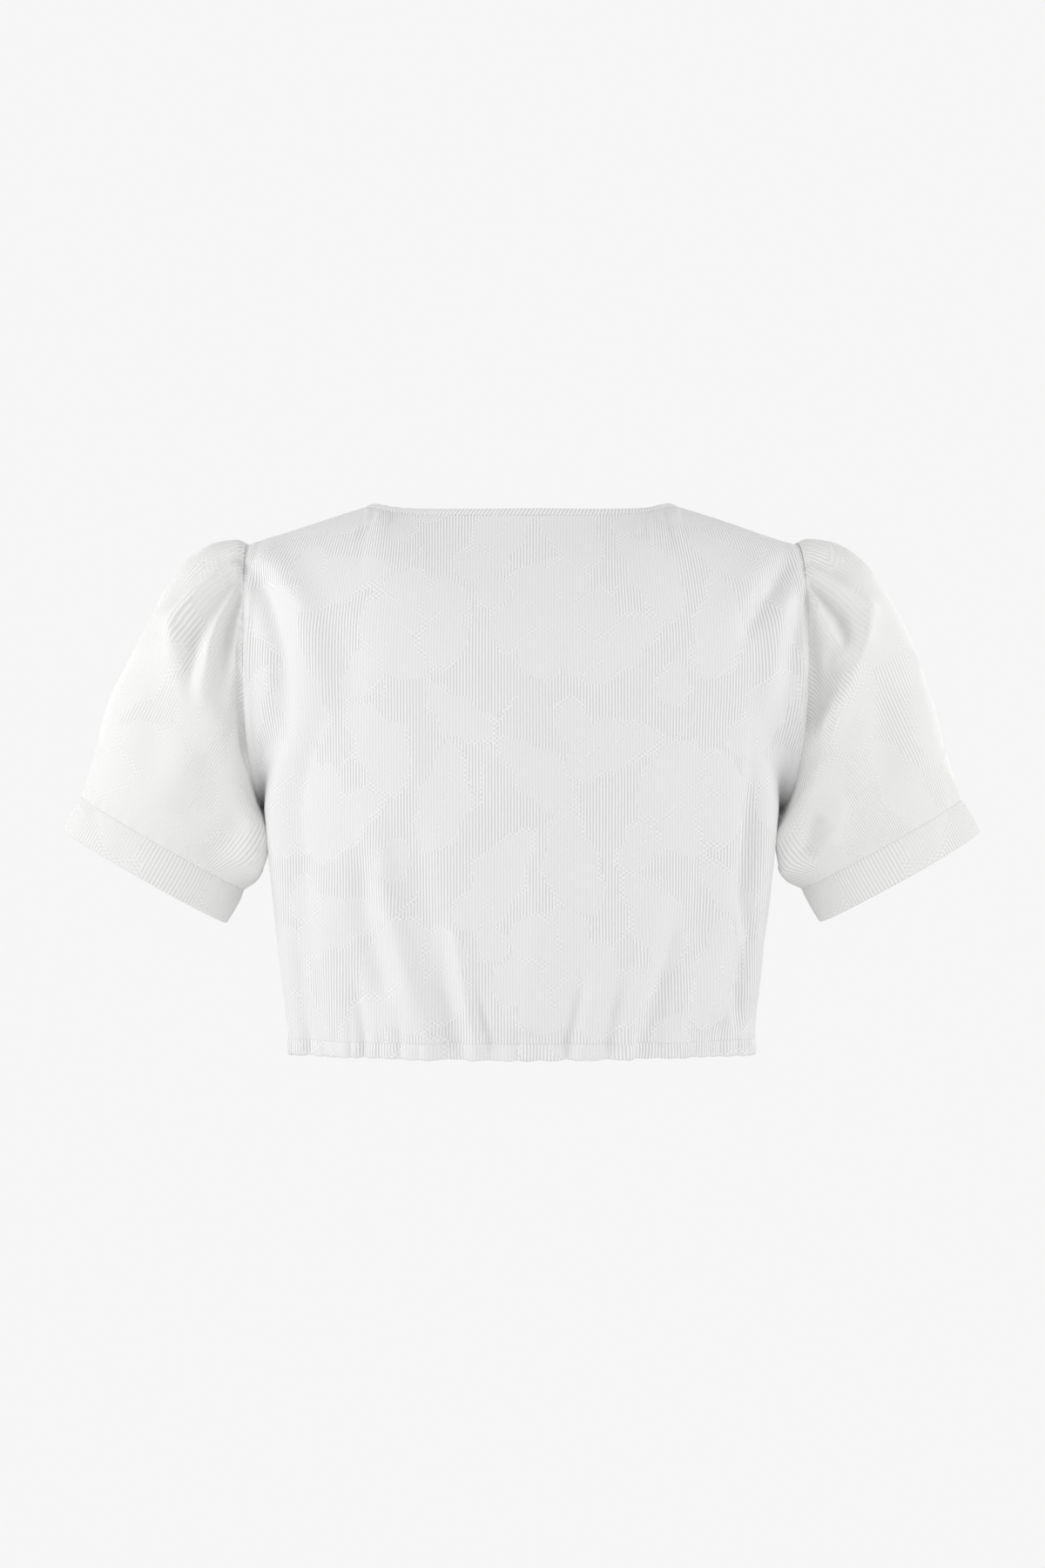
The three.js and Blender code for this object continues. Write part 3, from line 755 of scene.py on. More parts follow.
    def plain(self, cut: PanelCut, u: Array, v: Array) -> Array:
        """Gives points of a panel without its folds.

        Args:
            cut: The panel.
            u: From -1 at the left edge to 1 at the right.
            v: 0 at the casing, 1 at the underarm, 2 at the blades and 3 at the top.

        Returns:
            Points in millimetres.
        """
        lower = self.girth(cut, u, mix(self.casing_top, self.underarm_z, np.clip(v, 0, 1)))
        blade = self.blade(cut, u)
        s = np.clip(v - 1, 0, 1)
        low = self.girth(cut, u, self.underarm_z + 0 * u)
        edge = np.abs(u) ** 8
        ease = mix(smoothstep(s), np.sin(s * math.pi / 2), edge)
        rise = mix(s, 1 - np.cos(s * math.pi / 2), edge)
        middle = stack(
            mix(low[..., 0], blade[..., 0], ease),
            mix(low[..., 1], blade[..., 1], ease),
            mix(low[..., 2], blade[..., 2], rise),
        )
        top = self.top(cut, u)
        s = np.clip(3 - v, 0, 1)
        arc = np.sin(s * math.pi / 2)
        neckness = 1 - smoothstep(np.abs(u) / self.shoulder_share)
        upper = stack(
            mix(top[..., 0], blade[..., 0], arc),
            mix(top[..., 1], blade[..., 1], arc),
            mix(blade[..., 2], top[..., 2], mix(np.cos(s * math.pi / 2), 1 - s, neckness)),
        )
        body = np.where((v <= 1)[..., None], lower, middle)
        return np.where((v > 2)[..., None], upper, body)

    def levels(self) -> Array:
        """Lists the rows' places, closer together at the casing and at the neck."""
        start = np.array([0.0, 0.004, 0.009, 0.016, 0.025])
        low = np.linspace(0.035, 1, self.rows[0], endpoint=False)
        middle = np.linspace(1, 2, self.rows[1], endpoint=False)
        high = np.linspace(2, 2.96, self.rows[2], endpoint=False)
        end = np.array([2.96, 2.972, 2.982, 2.99, 2.996, 3.0])
        return np.concatenate([start, low, middle, high, end])

    def places(self) -> Array:
        """Lists the columns' places, closer together at the two edges."""
        near = np.array([1.0, 0.9975, 0.994, 0.989, 0.983])
        inner = np.linspace(-0.976, 0.976, self.columns)
        return np.concatenate([-near, inner, near[::-1]])

    def panel(self, cut: PanelCut, name: str, folds: tuple[Fold, ...], grain: Grain) -> bpy.types.Object:
        """Builds a panel of cloth with its folds, its seams and the gathers above the casing.

        Args:
            cut: The panel.
            name: The piece's name.
            folds: Its folds.
            grain: How the cloth lies.

        Returns:
            The piece.
        """
        u, v = np.meshgrid(self.places(), self.levels())
        smooth = self.plain(cut, u, v)
        normal = grid_normals(smooth, False, -cut.side)
        across = arc_lengths(smooth, 1)
        across -= across[:, [across.shape[1] // 2]]
        up = arc_lengths(smooth, 0)
        seen = seen_plane(smooth) if cut.side < 0 else (smooth[..., 0], smooth[..., 2])
        to_side = (1 - np.abs(u)) * self.half_cloth
        to_top = (3 - v) * self.upper_cloth
        to_casing = v * self.lower_cloth
        fade = smoothstep(to_side / 16) * smoothstep(to_top / 7)
        lift = sum(fold.lift(*seen) for fold in folds) * fade
        lift += self.gathers(cut, u, to_casing)
        lift += seam_pull(to_side, up, 5.5) + seam_pull(to_top, across, 6.0) * (np.abs(u) > 0.5)
        armhole = smoothstep((v - 0.9) * 6) * smoothstep((3 - v) * 6)
        lift += 0.9 * np.exp(-(((to_side - 5.5) / 4.0) ** 2)) * armhole
        lift += ripples(across, up, 0.35, 3 + cut.side) * fade
        outer = smooth + normal * lift[..., None]
        inner = outer - grid_normals(outer, False, -cut.side) * self.cloth
        for layer in (outer, inner):
            layer[..., 1] = cut.side * np.maximum(cut.side * layer[..., 1], 0.06)
        self.hem_rows[cut.side] = (u[0], outer[0])
        lay_across, lay_up = grain.lay(across * -cut.side, up)
        return ClothShell(name, outer, inner, lay_across, lay_up, False, cut.side > 0).build()

    def casing_gather(self, quarter: Array) -> Array:
        """Works out how the elastic puckers the hem.

        Args:
            quarter: Place round the hem from 0 to 4, from the right side by the back.

        Returns:
            From about -0.6 in a pucker to 0.4 on a crest.
        """
        wander = 0.6 * np.sin(quarter * 17.0) + 0.3 * np.sin(quarter * 43.0)
        phase = quarter / 4 * self.hem_gathers * math.pi + wander
        uneven = 0.7 + 0.3 * np.sin(quarter * 29.0 + 1.0) * np.sin(quarter * 11.0)
        return (np.abs(np.cos(phase)) ** 0.8 - 0.6) * uneven

    def gathers(self, cut: PanelCut, u: Array, to_casing: Array) -> Array:
        """Works out the small gathers that the casing draws into the panel above it.

        Args:
            cut: The panel.
            u: Places across.
            to_casing: Distance up from the casing.

        Returns:
            The lift in millimetres.
        """
        quarter = 1 - u if cut.side < 0 else u + 3
        reach = 15.0 + 13.0 * np.sin(u * 47.0 + 2.0) * np.sin(u * 19.0)
        return 1.8 * self.casing_gather(quarter) * np.exp(-((to_casing / reach) ** 1.3))


def arc_lengths(grid: Array, axis: int) -> Array:
    """Adds up the lengths along one direction of a grid of points.

    Args:
        grid: Points, as rows by columns by three.
        axis: 0 to go up the columns, 1 to go along the rows.

    Returns:
        The length from the first row or column, in the grid's shape.
    """
    steps = np.linalg.norm(np.diff(grid, axis=axis), axis=-1)
    total = np.cumsum(steps, axis=axis)
    start = np.zeros_like(np.take(total, [0], axis=axis))
    return np.concatenate([start, total], axis=axis)


def seam_pull(distance: Array, along: Array, pitch: float) -> Array:
    """Works out how a seam draws the cloth in, with the small puckers of its stitches.

    Args:
        distance: Millimetres from the seam.
        along: Millimetres along it.
        pitch: Length of a pucker.

    Returns:
        The lift in millimetres.
    """
    wave = np.sin(2 * math.pi * along / pitch + 1.7 * np.sin(along / 23.0))
    uneven = 0.6 + 0.4 * np.sin(along / 17.0)
    return 0.28 * uneven * wave * np.exp(-distance / 4.5) * smoothstep(distance / 1.5)


def ripples(across: Array, up: Array, height: float, seed: float) -> Array:
    """Adds the slight unevenness of soft cloth.

    Args:
        across: Lengths across.
        up: Lengths up.
        height: Height of the largest ripples.
        seed: Any number, to make pieces differ.

    Returns:
        The lift in millimetres.
    """
    a = np.sin(across / 13.0 + 1.9 * np.sin(up / 41.0 + seed) + seed)
    b = np.sin(across / 29.0 - up / 53.0 + 2.3 * seed)
    c = np.sin(up / 21.0 + 1.4 * np.sin(across / 33.0 + 2 * seed))
    return height * (0.45 * a + 0.6 * b + 0.35 * c)


class Hand(Enum):
    """The wearer's side that a sleeve is on, as the sign of X."""

    LEFT = -1
    RIGHT = 1


@dataclass(frozen=True)
class SleeveLine:
    """One section of a sleeve, with X counted outwards, in millimetres.

    Attributes:
        t: Place down the sleeve, 0 at the armhole and 1 at the cuff.
        over_x: X of its outer edge.
        over_z: Z of its outer edge.
        under_x: X of its inner edge.
        under_z: Z of its inner edge.
        depth: Half its depth, from back to front.
    """

    t: float
    over_x: float
    over_z: float
    under_x: float
    under_z: float
    depth: float


LEFT_LINES = (
    SleeveLine(0, 197, -27.2, 184.5, -218, 51),
    SleeveLine(0.05, 206, -23.3, 184.9, -222, 56),
    SleeveLine(0.12, 221, -25.2, 185.3, -227, 63),
    SleeveLine(0.2, 238, -34.5, 185.8, -232, 69),
    SleeveLine(0.3, 253.5, -51, 185.8, -238, 74),
    SleeveLine(0.42, 268, -79, 185.7, -246, 76),
    SleeveLine(0.55, 283.5, -109, 184.9, -254, 75),
    SleeveLine(0.7, 300.5, -147, 186.4, -262, 69),
    SleeveLine(0.85, 309, -180, 191.4, -270, 58),
    SleeveLine(1, 317.6, -209.2, 201, -276, 44.5),
)
RIGHT_LINES = (
    SleeveLine(0, 197, -27.2, 184.5, -218, 51),
    SleeveLine(0.05, 207, -23.2, 185, -222, 56),
    SleeveLine(0.12, 223.5, -25.3, 185.6, -227, 63),
    SleeveLine(0.2, 241, -34, 186.1, -232, 69),
    SleeveLine(0.3, 257, -51.5, 186.2, -238, 74),
    SleeveLine(0.42, 272, -76.5, 186, -246, 76),
    SleeveLine(0.55, 286, -107.5, 185.2, -254, 75),
    SleeveLine(0.7, 297.5, -147, 185.4, -262, 69),
    SleeveLine(0.85, 308, -181, 191.2, -270, 58),
    SleeveLine(1, 317.4, -211, 202.6, -276, 44.5),
)
LEFT_BACK_FOLDS = (
    Fold([(200, -34), (222, -41), (246, -57), (264, -80)], 8, -4.6, 0.3, 0.3),
    Fold([(198, -42), (216, -47), (236, -66), (250, -82), (253, -112), (248, -146)], 8, 7.6, 0.15, 0.45),
    Fold([(200, -42), (217, -48), (237, -67), (250, -84), (252, -112)], 3.2, 3.0, 0.15, 0.3),
    Fold([(200, -48), (216, -68), (234, -94), (240, -124), (238, -156)], 7, -5.6, 0.15, 0.55),
    Fold([(201, -52), (210, -66), (220, -83), (227, -104), (231, -130), (232, -152)], 6, 6.4, 0.15, 0.45),
    Fold([(202, -53), (210, -66), (220, -83), (227, -104), (230, -124)], 2.8, 2.8, 0.15, 0.35),
    Fold([(199, -58), (208, -78), (215, -104), (218, -150)], 5.5, -5.0, 0.12, 0.5),
    Fold([(200, -66), (205, -84), (208, -110), (208, -140)], 4, 3.6, 0.15, 0.4),
    Fold([(199, -110), (199, -150), (197, -196)], 6.5, -6.0, 0.2, 0.3),
    Fold([(222, -140), (214, -168), (204, -200)], 13, 2.4, 0.3, 0.3),
    Fold([(266, -84), (266, -130), (268, -180), (262, -216)], 17, -3.0, 0.3, 0.4),
    Fold([(240, -150), (244, -190), (262, -226)], 18, 2.2, 0.4, 0.3),
    Fold([(218, -170), (230, -200), (250, -232)], 15, -1.4, 0.3, 0.3),
    Fold([(200, -222), (214, -240), (232, -258)], 10, -2.4, 0.3, 0.3),
    Fold([(193, -214), (196, -240), (206, -262)], 9, 1.6, 0.3, 0.3),
)
RIGHT_BACK_FOLDS = (
    Fold([(198, -36), (220, -40), (239, -55)], 6, -4.6, 0.2, 0.35),
    Fold([(200, -42), (222, -54), (248, -72), (262, -92)], 7.5, 5.0, 0.12, 0.4),
    Fold([(202, -57), (212, -72), (225, -94), (236, -112)], 3.0, 3.0, 0.2, 0.35),
    Fold([(200, -48), (214, -58), (230, -78), (240, -102)], 6, -7.0, 0.12, 0.35),
    Fold([(202, -56), (212, -74), (225, -94), (236, -118)], 6.5, 6.2, 0.12, 0.45),
    Fold([(199, -60), (206, -90), (213, -124), (213, -150)], 5.5, -6.5, 0.12, 0.4),
    Fold([(200, -70), (204, -100), (206, -138)], 4, 3.4, 0.15, 0.4),
    Fold([(251, -60), (247, -98), (238, -123), (229, -146), (220, -165), (208, -183)], 8, 7.6, 0.2, 0.35),
    Fold([(251, -66), (246, -100), (238, -123), (229, -146), (220, -165)], 3.6, 2.8, 0.2, 0.3),
    Fold([(234, -96), (225, -122), (214, -146), (205, -170)], 8, -5.6, 0.25, 0.35),
    Fold([(258, -106), (263, -150), (260, -190), (248, -224)], 15, -4.6, 0.3, 0.4),
    Fold([(286, -124), (290, -164), (284, -204)], 12, 3.4, 0.3, 0.4),
    Fold([(220, -222), (212, -238), (204, -256)], 7, -5.6, 0.2, 0.3),
    Fold([(232, -206), (226, -232), (220, -254)], 9, 3.4, 0.3, 0.3),
)
SLEEVE_FRONT_FOLDS = (
    Fold([(199, -34), (226, -42), (252, -56)], 6, -4.0, 0.2, 0.3),
    Fold([(204, -44), (232, -66), (250, -92), (254, -122)], 8, 5.0, 0.2, 0.4),
    Fold([(200, -58), (216, -84), (226, -112), (228, -140)], 7, -5.0, 0.2, 0.4),
    Fold([(200, -72), (210, -100), (216, -132)], 7, 4.0, 0.2, 0.4),
    Fold([(206, -228), (224, -246), (240, -258)], 9, -4.0, 0.2, 0.3),
    Fold([(252, -120), (262, -170), (282, -206)], 15, 3.2, 0.3, 0.3),
)


@dataclass
class Sleeve:
    """A puff sleeve that is gathered into the armhole, with its straight cuff.

    Attributes:
        hand: The side it is on.
        lines: Its outline's sections.
        back_folds: Folds on the half that faces back.
        columns: Points round it.
        rows: Points down it.
        cloth: Thickness of its cloth.
        long: Length of the cloth from the armhole to the cuff.
        cloth_round: Width of the cloth before it was gathered.
        cuff_round: Length of the cuff's strip.
        cuff_tall: Height of the cuff.
        cuff_wall: Thickness of the doubled cuff.
        cuff_tilt: Slope of the cuff's edge in degrees.
        gathers: Gathers round the whole head.
        back_depths: How deep the half that faces back is, as a share of the front one's depth.
        back_places: Where down the sleeve each share holds.
        bodice: The panels that it is sewn to.
    """

    hand: Hand
    lines: tuple[SleeveLine, ...]
    back_folds: tuple[Fold, ...]
    columns: int = 240
    rows: int = 118
    cloth: float = 0.9
    long: float = 250.0
    cloth_round: float = 400.0
    cuff_round: float = 330.0
    cuff_tall: float = 27.3
    cuff_wall: float = 2.2
    cuff_tilt: float = 29.5
    gathers: int = 38
    back_depths: tuple[float, ...] = (1, 0.86, 0.79, 0.75, 0.73, 0.71, 0.74, 0.85, 1)
    back_places: tuple[float, ...] = (0, 0.05, 0.12, 0.2, 0.3, 0.55, 0.7, 0.85, 1)
    bodice: Bodice = field(default_factory=Bodice)

    def __post_init__(self) -> None:
        """Prepares a curve for each column of the sections' table, and a place for the last row."""
        keys = [line.t for line in self.lines]
        names = ("over_x", "over_z", "under_x", "under_z", "depth")
        self.at = {name: Curve(keys, [getattr(line, name) for line in self.lines]) for name in names}
        self.back_share = Curve(self.back_places, self.back_depths)
        self.hem_row: Array | None = None

    @property
    def word(self) -> str:
        """The side as a word."""
        return self.hand.name.lower()

    def armhole(self, turn: Array) -> Array:
        """Gives points of the armhole edge that the sleeve is sewn to."""
        body = self.bodice
        reach = body.armhole_left if self.hand is Hand.LEFT else body.armhole_right
        half = np.where(turn % 1 < 0.5, (turn % 1) * 2, 2 - (turn % 1) * 2)
        side = np.where(turn % 1 < 0.5, -1.0, 1.0)
        swing = np.sin(half * math.pi)
        upper = half <= 0.5
        x = mix(np.where(upper, body.shoulder_half, body.halves[-1]), reach, swing)
        end_z = np.where(upper, body.shoulder_z, body.underarm_z)
        z = mix(body.armhole_z, end_z, np.abs(np.cos(half * math.pi)))
        return stack(x, side * body.armhole_depth * swing, z)

    def plain(self, turn: Array, t: Array) -> Array:
        """Gives points of the sleeve without its folds, with X counted outwards.

        Args:
            turn: Place round it, from the overarm line by the back.
            t: Place down it.

        Returns:
            Points in millimetres.
        """
        angle = turn * 2 * math.pi
        over_x, over_z = self.at["over_x"](t), self.at["over_z"](t)
        under_x, under_z = self.at["under_x"](t), self.at["under_z"](t)
        below = angle % (2 * math.pi) - math.pi
        worn = smoothstep(t * 16) * (1 - smoothstep((t - 0.56) / 0.44))
        share = (1 + np.cos(angle + 0.32 * worn * np.exp(-((below / 0.6) ** 2)))) / 2
        swing = np.sin(angle)
        square = 1 - 0.64 * (1 - share) ** 2 * smoothstep(t * 10) * (1 - smoothstep((t - 0.72) / 0.28))
        y = -self.at["depth"](t) * np.sign(swing) * np.abs(swing) ** square
        y = np.where(y < 0, y * self.back_share(t), y)
        tuck = (1.4 + 6.6 * np.exp(-(((t - 0.27) / 0.22) ** 2))) * worn
        tuck = tuck * np.exp(-(((below + 0.34) / 0.42) ** 2))
        point = stack(mix(under_x, over_x, share) - tuck, y, mix(under_z, over_z, share))
        first = self.lines[0]
        base = stack(
            mix(first.under_x, first.over_x, (1 + np.cos(angle)) / 2),
            -first.depth * np.sin(angle),
            mix(first.under_z, first.over_z, (1 + np.cos(angle)) / 2),
        )
        return point + (self.armhole(turn) - base) * (1 - smoothstep(t * 2))[..., None]

    def lift(self, plain: Array, turn: Array, t: Array) -> Array:
        """Works out how far folds, gathers and seams lift the sleeve's cloth.

        Args:
            plain: Its points without folds.
            turn: Places round it.
            t: Places down it.

        Returns:
            The lift in millimetres.
        """
        behind = plain[..., 1] < 0
        x, z = seen_plane(plain)
        lift = np.where(behind, sum(fold.lift(x, z) for fold in self.back_folds), 0.0)
        x, z = plain[..., 0], plain[..., 2]
        lift += np.where(behind, 0.0, sum(fold.lift(x, z) for fold in SLEEVE_FRONT_FOLDS))
        down = t * self.long
        left = self.long - down
        edge = np.abs(np.sin(turn * 2 * math.pi))
        lift *= smoothstep(down / 10) * smoothstep(left / 20) * smoothstep(edge * 4)
        upper = smoothstep((np.cos(turn * 2 * math.pi) + 0.75) * 1.6)
        wave = np.cos(self.gathers * 2 * math.pi * turn + 1.1 * np.sin(turn * 29) + self.hand.value)
        sharp = np.abs(wave) - 0.55
        uneven = 0.62 + 0.38 * np.sin(turn * 51 + 2.0 * self.hand.value)
        reach = 15 + 12 * np.sin(turn * 67 + self.hand.value) * np.sin(turn * 31)
        lift += 1.9 * upper * uneven * sharp * np.exp(-((down / reach) ** 1.3)) * smoothstep(down / 2.2)
        hem_wave = np.sin(turn * 2 * math.pi * 31 + 2 * np.sin(turn * 17))
        lift += 0.4 * hem_wave * np.exp(-left / 7.0) * smoothstep(left / 2)
        to_seam = np.minimum(np.abs(turn - 0.5), np.abs(turn - 1.5)) * self.cloth_round
        lift += seam_pull(to_seam, down, 6.0) * smoothstep(down / 12)
        return lift + ripples(turn * 430, down, 0.4, 5 + self.hand.value) * smoothstep(down / 14)

    def build_sleeve(self, grain: Grain) -> bpy.types.Object:
        """Builds the sleeve's cloth.

        Args:
            grain: How the cloth lies.

        Returns:
            The piece.
        """
        start = np.array([0.0, 0.003, 0.0065, 0.0105, 0.0155, 0.021])
        end = np.array([0.986, 0.99, 0.9935, 0.997, 1.0])
        t_row = np.concatenate([start, np.linspace(0.028, 0.98, self.rows), end])
        turn_row = 0.5 + np.arange(self.columns) / self.columns
        turn, t = np.meshgrid(turn_row, t_row)
        plain = self.plain(turn, t)
        outer = plain + grid_normals(plain, True, 1.0) * self.lift(plain, turn, t)[..., None]
        outer[..., 0] += 0.03 * (1 - smoothstep(t * 3))
        self.hem_row = outer[-1].copy()
        inner = outer - grid_normals(outer, True, 1.0) * self.cloth
        for layer in (outer, inner):
            layer[..., 0] *= self.hand.value
        across, up = grain.lay(*self.cloth_place(plain))
        name = f"sleeve_{self.word}_cloth"
        return ClothShell(name, outer, inner, across, up, True, self.hand is Hand.LEFT).build()

    def cloth_place(self, plain: Array) -> tuple[Array, Array]:
        """Finds where each point lies on the sleeve's flat cut, whose ribs run down the arm.

        Args:
            plain: Points without folds, with X counted outwards.

        Returns:
            Lengths round the arm and down it, with one more column to close the ring.
        """
        slant = math.radians(self.cuff_tilt)
        last = self.lines[-1]
        x = plain[..., 0] - (last.over_x + last.under_x) / 2
        z = plain[..., 2] - (last.over_z + last.under_z) / 2
        down = x * math.sin(slant) - z * math.cos(slant)
        out = x * math.cos(slant) + z * math.sin(slant)
        turn = np.unwrap(np.arctan2(-plain[..., 1], out), axis=1)
        last_turn = turn[:, :1] + 2 * math.pi * np.sign(turn[:, -1:] - turn[:, :1])
        turn = np.concatenate([turn, last_turn], axis=1)
        down = np.concatenate([down, down[:, :1]], axis=1)
        return turn * self.cloth_round / (2 * math.pi), -down

    def build_cuff(self, grain: Grain) -> bpy.types.Object:
        """Builds the cuff as a doubled band with a rounded fold at its edge.

        Args:
            grain: How the cloth lies.

        Returns:
            The piece.
        """
        slant = math.radians(self.cuff_tilt)
        axis = np.array([math.sin(slant), 0.0, -math.cos(slant)])
        last = self.lines[-1]
        centre = np.array([(last.over_x + last.under_x) / 2, 0.0, (last.over_z + last.under_z) / 2])
        turn = (0.5 + np.arange(self.columns) / self.columns)[None, :]
        ring = self.hem_row
        out = ring - centre
        out /= np.linalg.norm(out, axis=-1, keepdims=True)
        down, proud = self.cuff_section()
        angle = turn[0] * 2 * math.pi
        wave = 0.25 * np.sin(angle * 5 + self.hand.value) + 0.16 * np.sin(angle * 13)
        lift = proud[:, None] + (0.1 + wave[None, :]) * smoothstep(down[:, None] / 9)
        outer = ring[None] + axis * down[:, None, None] + out[None] * lift[..., None]
        outer[..., 0] *= self.hand.value
        length = np.cumsum(np.concatenate([[0], np.hypot(np.diff(down), np.diff(proud))]))
        around = np.arange(self.columns + 1) / self.columns * self.cuff_round
        around, along = np.meshgrid(around, np.append(length, length[-1] + 0.5))
        across, up = grain.lay(around, -along)
        name = f"cuff_{self.word}_cloth"
        flip = self.hand is Hand.LEFT
        return ClothShell(name, outer, None, across, up, True, flip, tube=True).build()

    def cuff_section(self) -> tuple[Array, Array]:
        """Lists the cuff's section, from its seam down the outside and up the inside.

        Returns:
            How far down and how far out each point lies.
        """
        tall, wall = self.cuff_tall, self.cuff_wall
        face = np.linspace(0.5, tall - 1.2, 15)
        bow = 1.5 * np.sin((face / tall) * math.pi)
        turn_down = np.linspace(0, math.pi, 7)[1:-1]
        low = tall - 1.2 + 1.2 * np.sin(turn_down)
        low_out = 1.0 - wall / 2 + wall / 2 * np.cos(turn_down)
        down = np.concatenate([[0.08], face, low, face[::-1], [0.08]])
        outside = 0.12 + 0.4 * smoothstep(face / 7) + 0.35 * bow
        inside = 0.5 - wall + 0.1 * bow[::-1]
        proud = np.concatenate([[0.0], outside, low_out - 0.5, inside, [0.4 - wall]])
        return down, proud


@dataclass
class NeckBinding:
    """The narrow strip that binds the neck, cut on the bias.

    Attributes:
        bodice: The panels that it binds.
        columns: Points round it.
        tall: Its height.
        wall: Its thickness.
        proud: How far it stands out from the panels.
        girth: Length of its strip's section.
    """

    bodice: Bodice
    columns: int = 520
    tall: float = 6.0
    wall: float = 2.3
    proud: float = 0.45
    girth: float = 14.0

    def edge(self) -> tuple[Array, Array]:
        """Works out the neck edge and the cloth's normals there.

        Returns:
            Points round the neck, from the right shoulder by the back, and their normals.
        """
        body = self.bodice
        half = self.columns // 2
        share = np.arange(half) / half
        points, rises = [], []
        for cut, sign in ((BACK_CUT, 1.0), (FRONT_CUT, -1.0)):
            u = sign * (1 - 2 * share) * body.shoulder_share
            top = body.plain(cut, u, 0 * u + 3.0)
            points.append(top)
            rises.append(top - body.plain(cut, u, 0 * u + 2.94))
        edge = np.concatenate(points)
        rise = np.concatenate(rises)
        rise /= np.linalg.norm(rise, axis=-1, keepdims=True)
        side = np.abs(edge[:, :1]) / body.neck_half
        inward = np.concatenate([-np.sign(edge[:, :1]) * 0.95, 0 * side, 0 * side + 0.31], axis=-1)
        rise = mix(rise, inward, smoothstep((side - 0.8) / 0.17))
        for _ in range(40):
            rise = (np.roll(rise, 1, axis=0) + rise * 2 + np.roll(rise, -1, axis=0)) / 4
        along = np.roll(edge, -1, axis=0) - np.roll(edge, 1, axis=0)
        normal = np.cross(rise, along)
        return edge, normal / np.linalg.norm(normal, axis=-1, keepdims=True)

    def build(self, grain: Grain) -> bpy.types.Object:
        """Builds the binding as a rounded band.

        Args:
            grain: How the cloth lies.

        Returns:
            The piece.
        """
        edge, normal = self.edge()
        along = np.roll(edge, -1, axis=0) - np.roll(edge, 1, axis=0)
        up = np.cross(along, normal)
        up /= np.linalg.norm(up, axis=-1, keepdims=True)
        face = np.linspace(0, self.tall - 0.8, 5)
        high = np.linspace(0, math.pi, 7)[1:-1]
        rise = np.concatenate([face, self.tall - 0.8 + 0.8 * np.sin(high), face[::-1]])
        bow = 0.3 * np.sin(face / self.tall * math.pi)
        fold = self.wall / 2 * (np.cos(high) - 1)
        out = self.proud + np.concatenate([bow, fold, 0 * face - self.wall])
        length = arc_lengths(edge[None], 1)[0]
        wave = 0.18 * np.sin(length / 2.1 + 2 * np.sin(length / 31)) + 0.25 * np.sin(length / 9.0)
        rise_all = rise[:, None] * (1 + 0.03 * np.sin(length / 14.0))[None] + 0.06
        out_all = out[:, None] + wave[None] * (out > 0.3)[:, None]
        outer = edge[None] + up[None] * rise_all[..., None] + normal[None] * out_all[..., None]
        girth = np.linspace(0, self.girth, len(rise) + 1)
        around = np.append(length, length[-1] + 1.2)
        around, across = np.meshgrid(around, girth)
        lay_across, lay_up = grain.lay(around, across)
        shell = ClothShell("neck_binding_cloth", outer, None, lay_across, lay_up, True, False, tube=True)
        return shell.build()


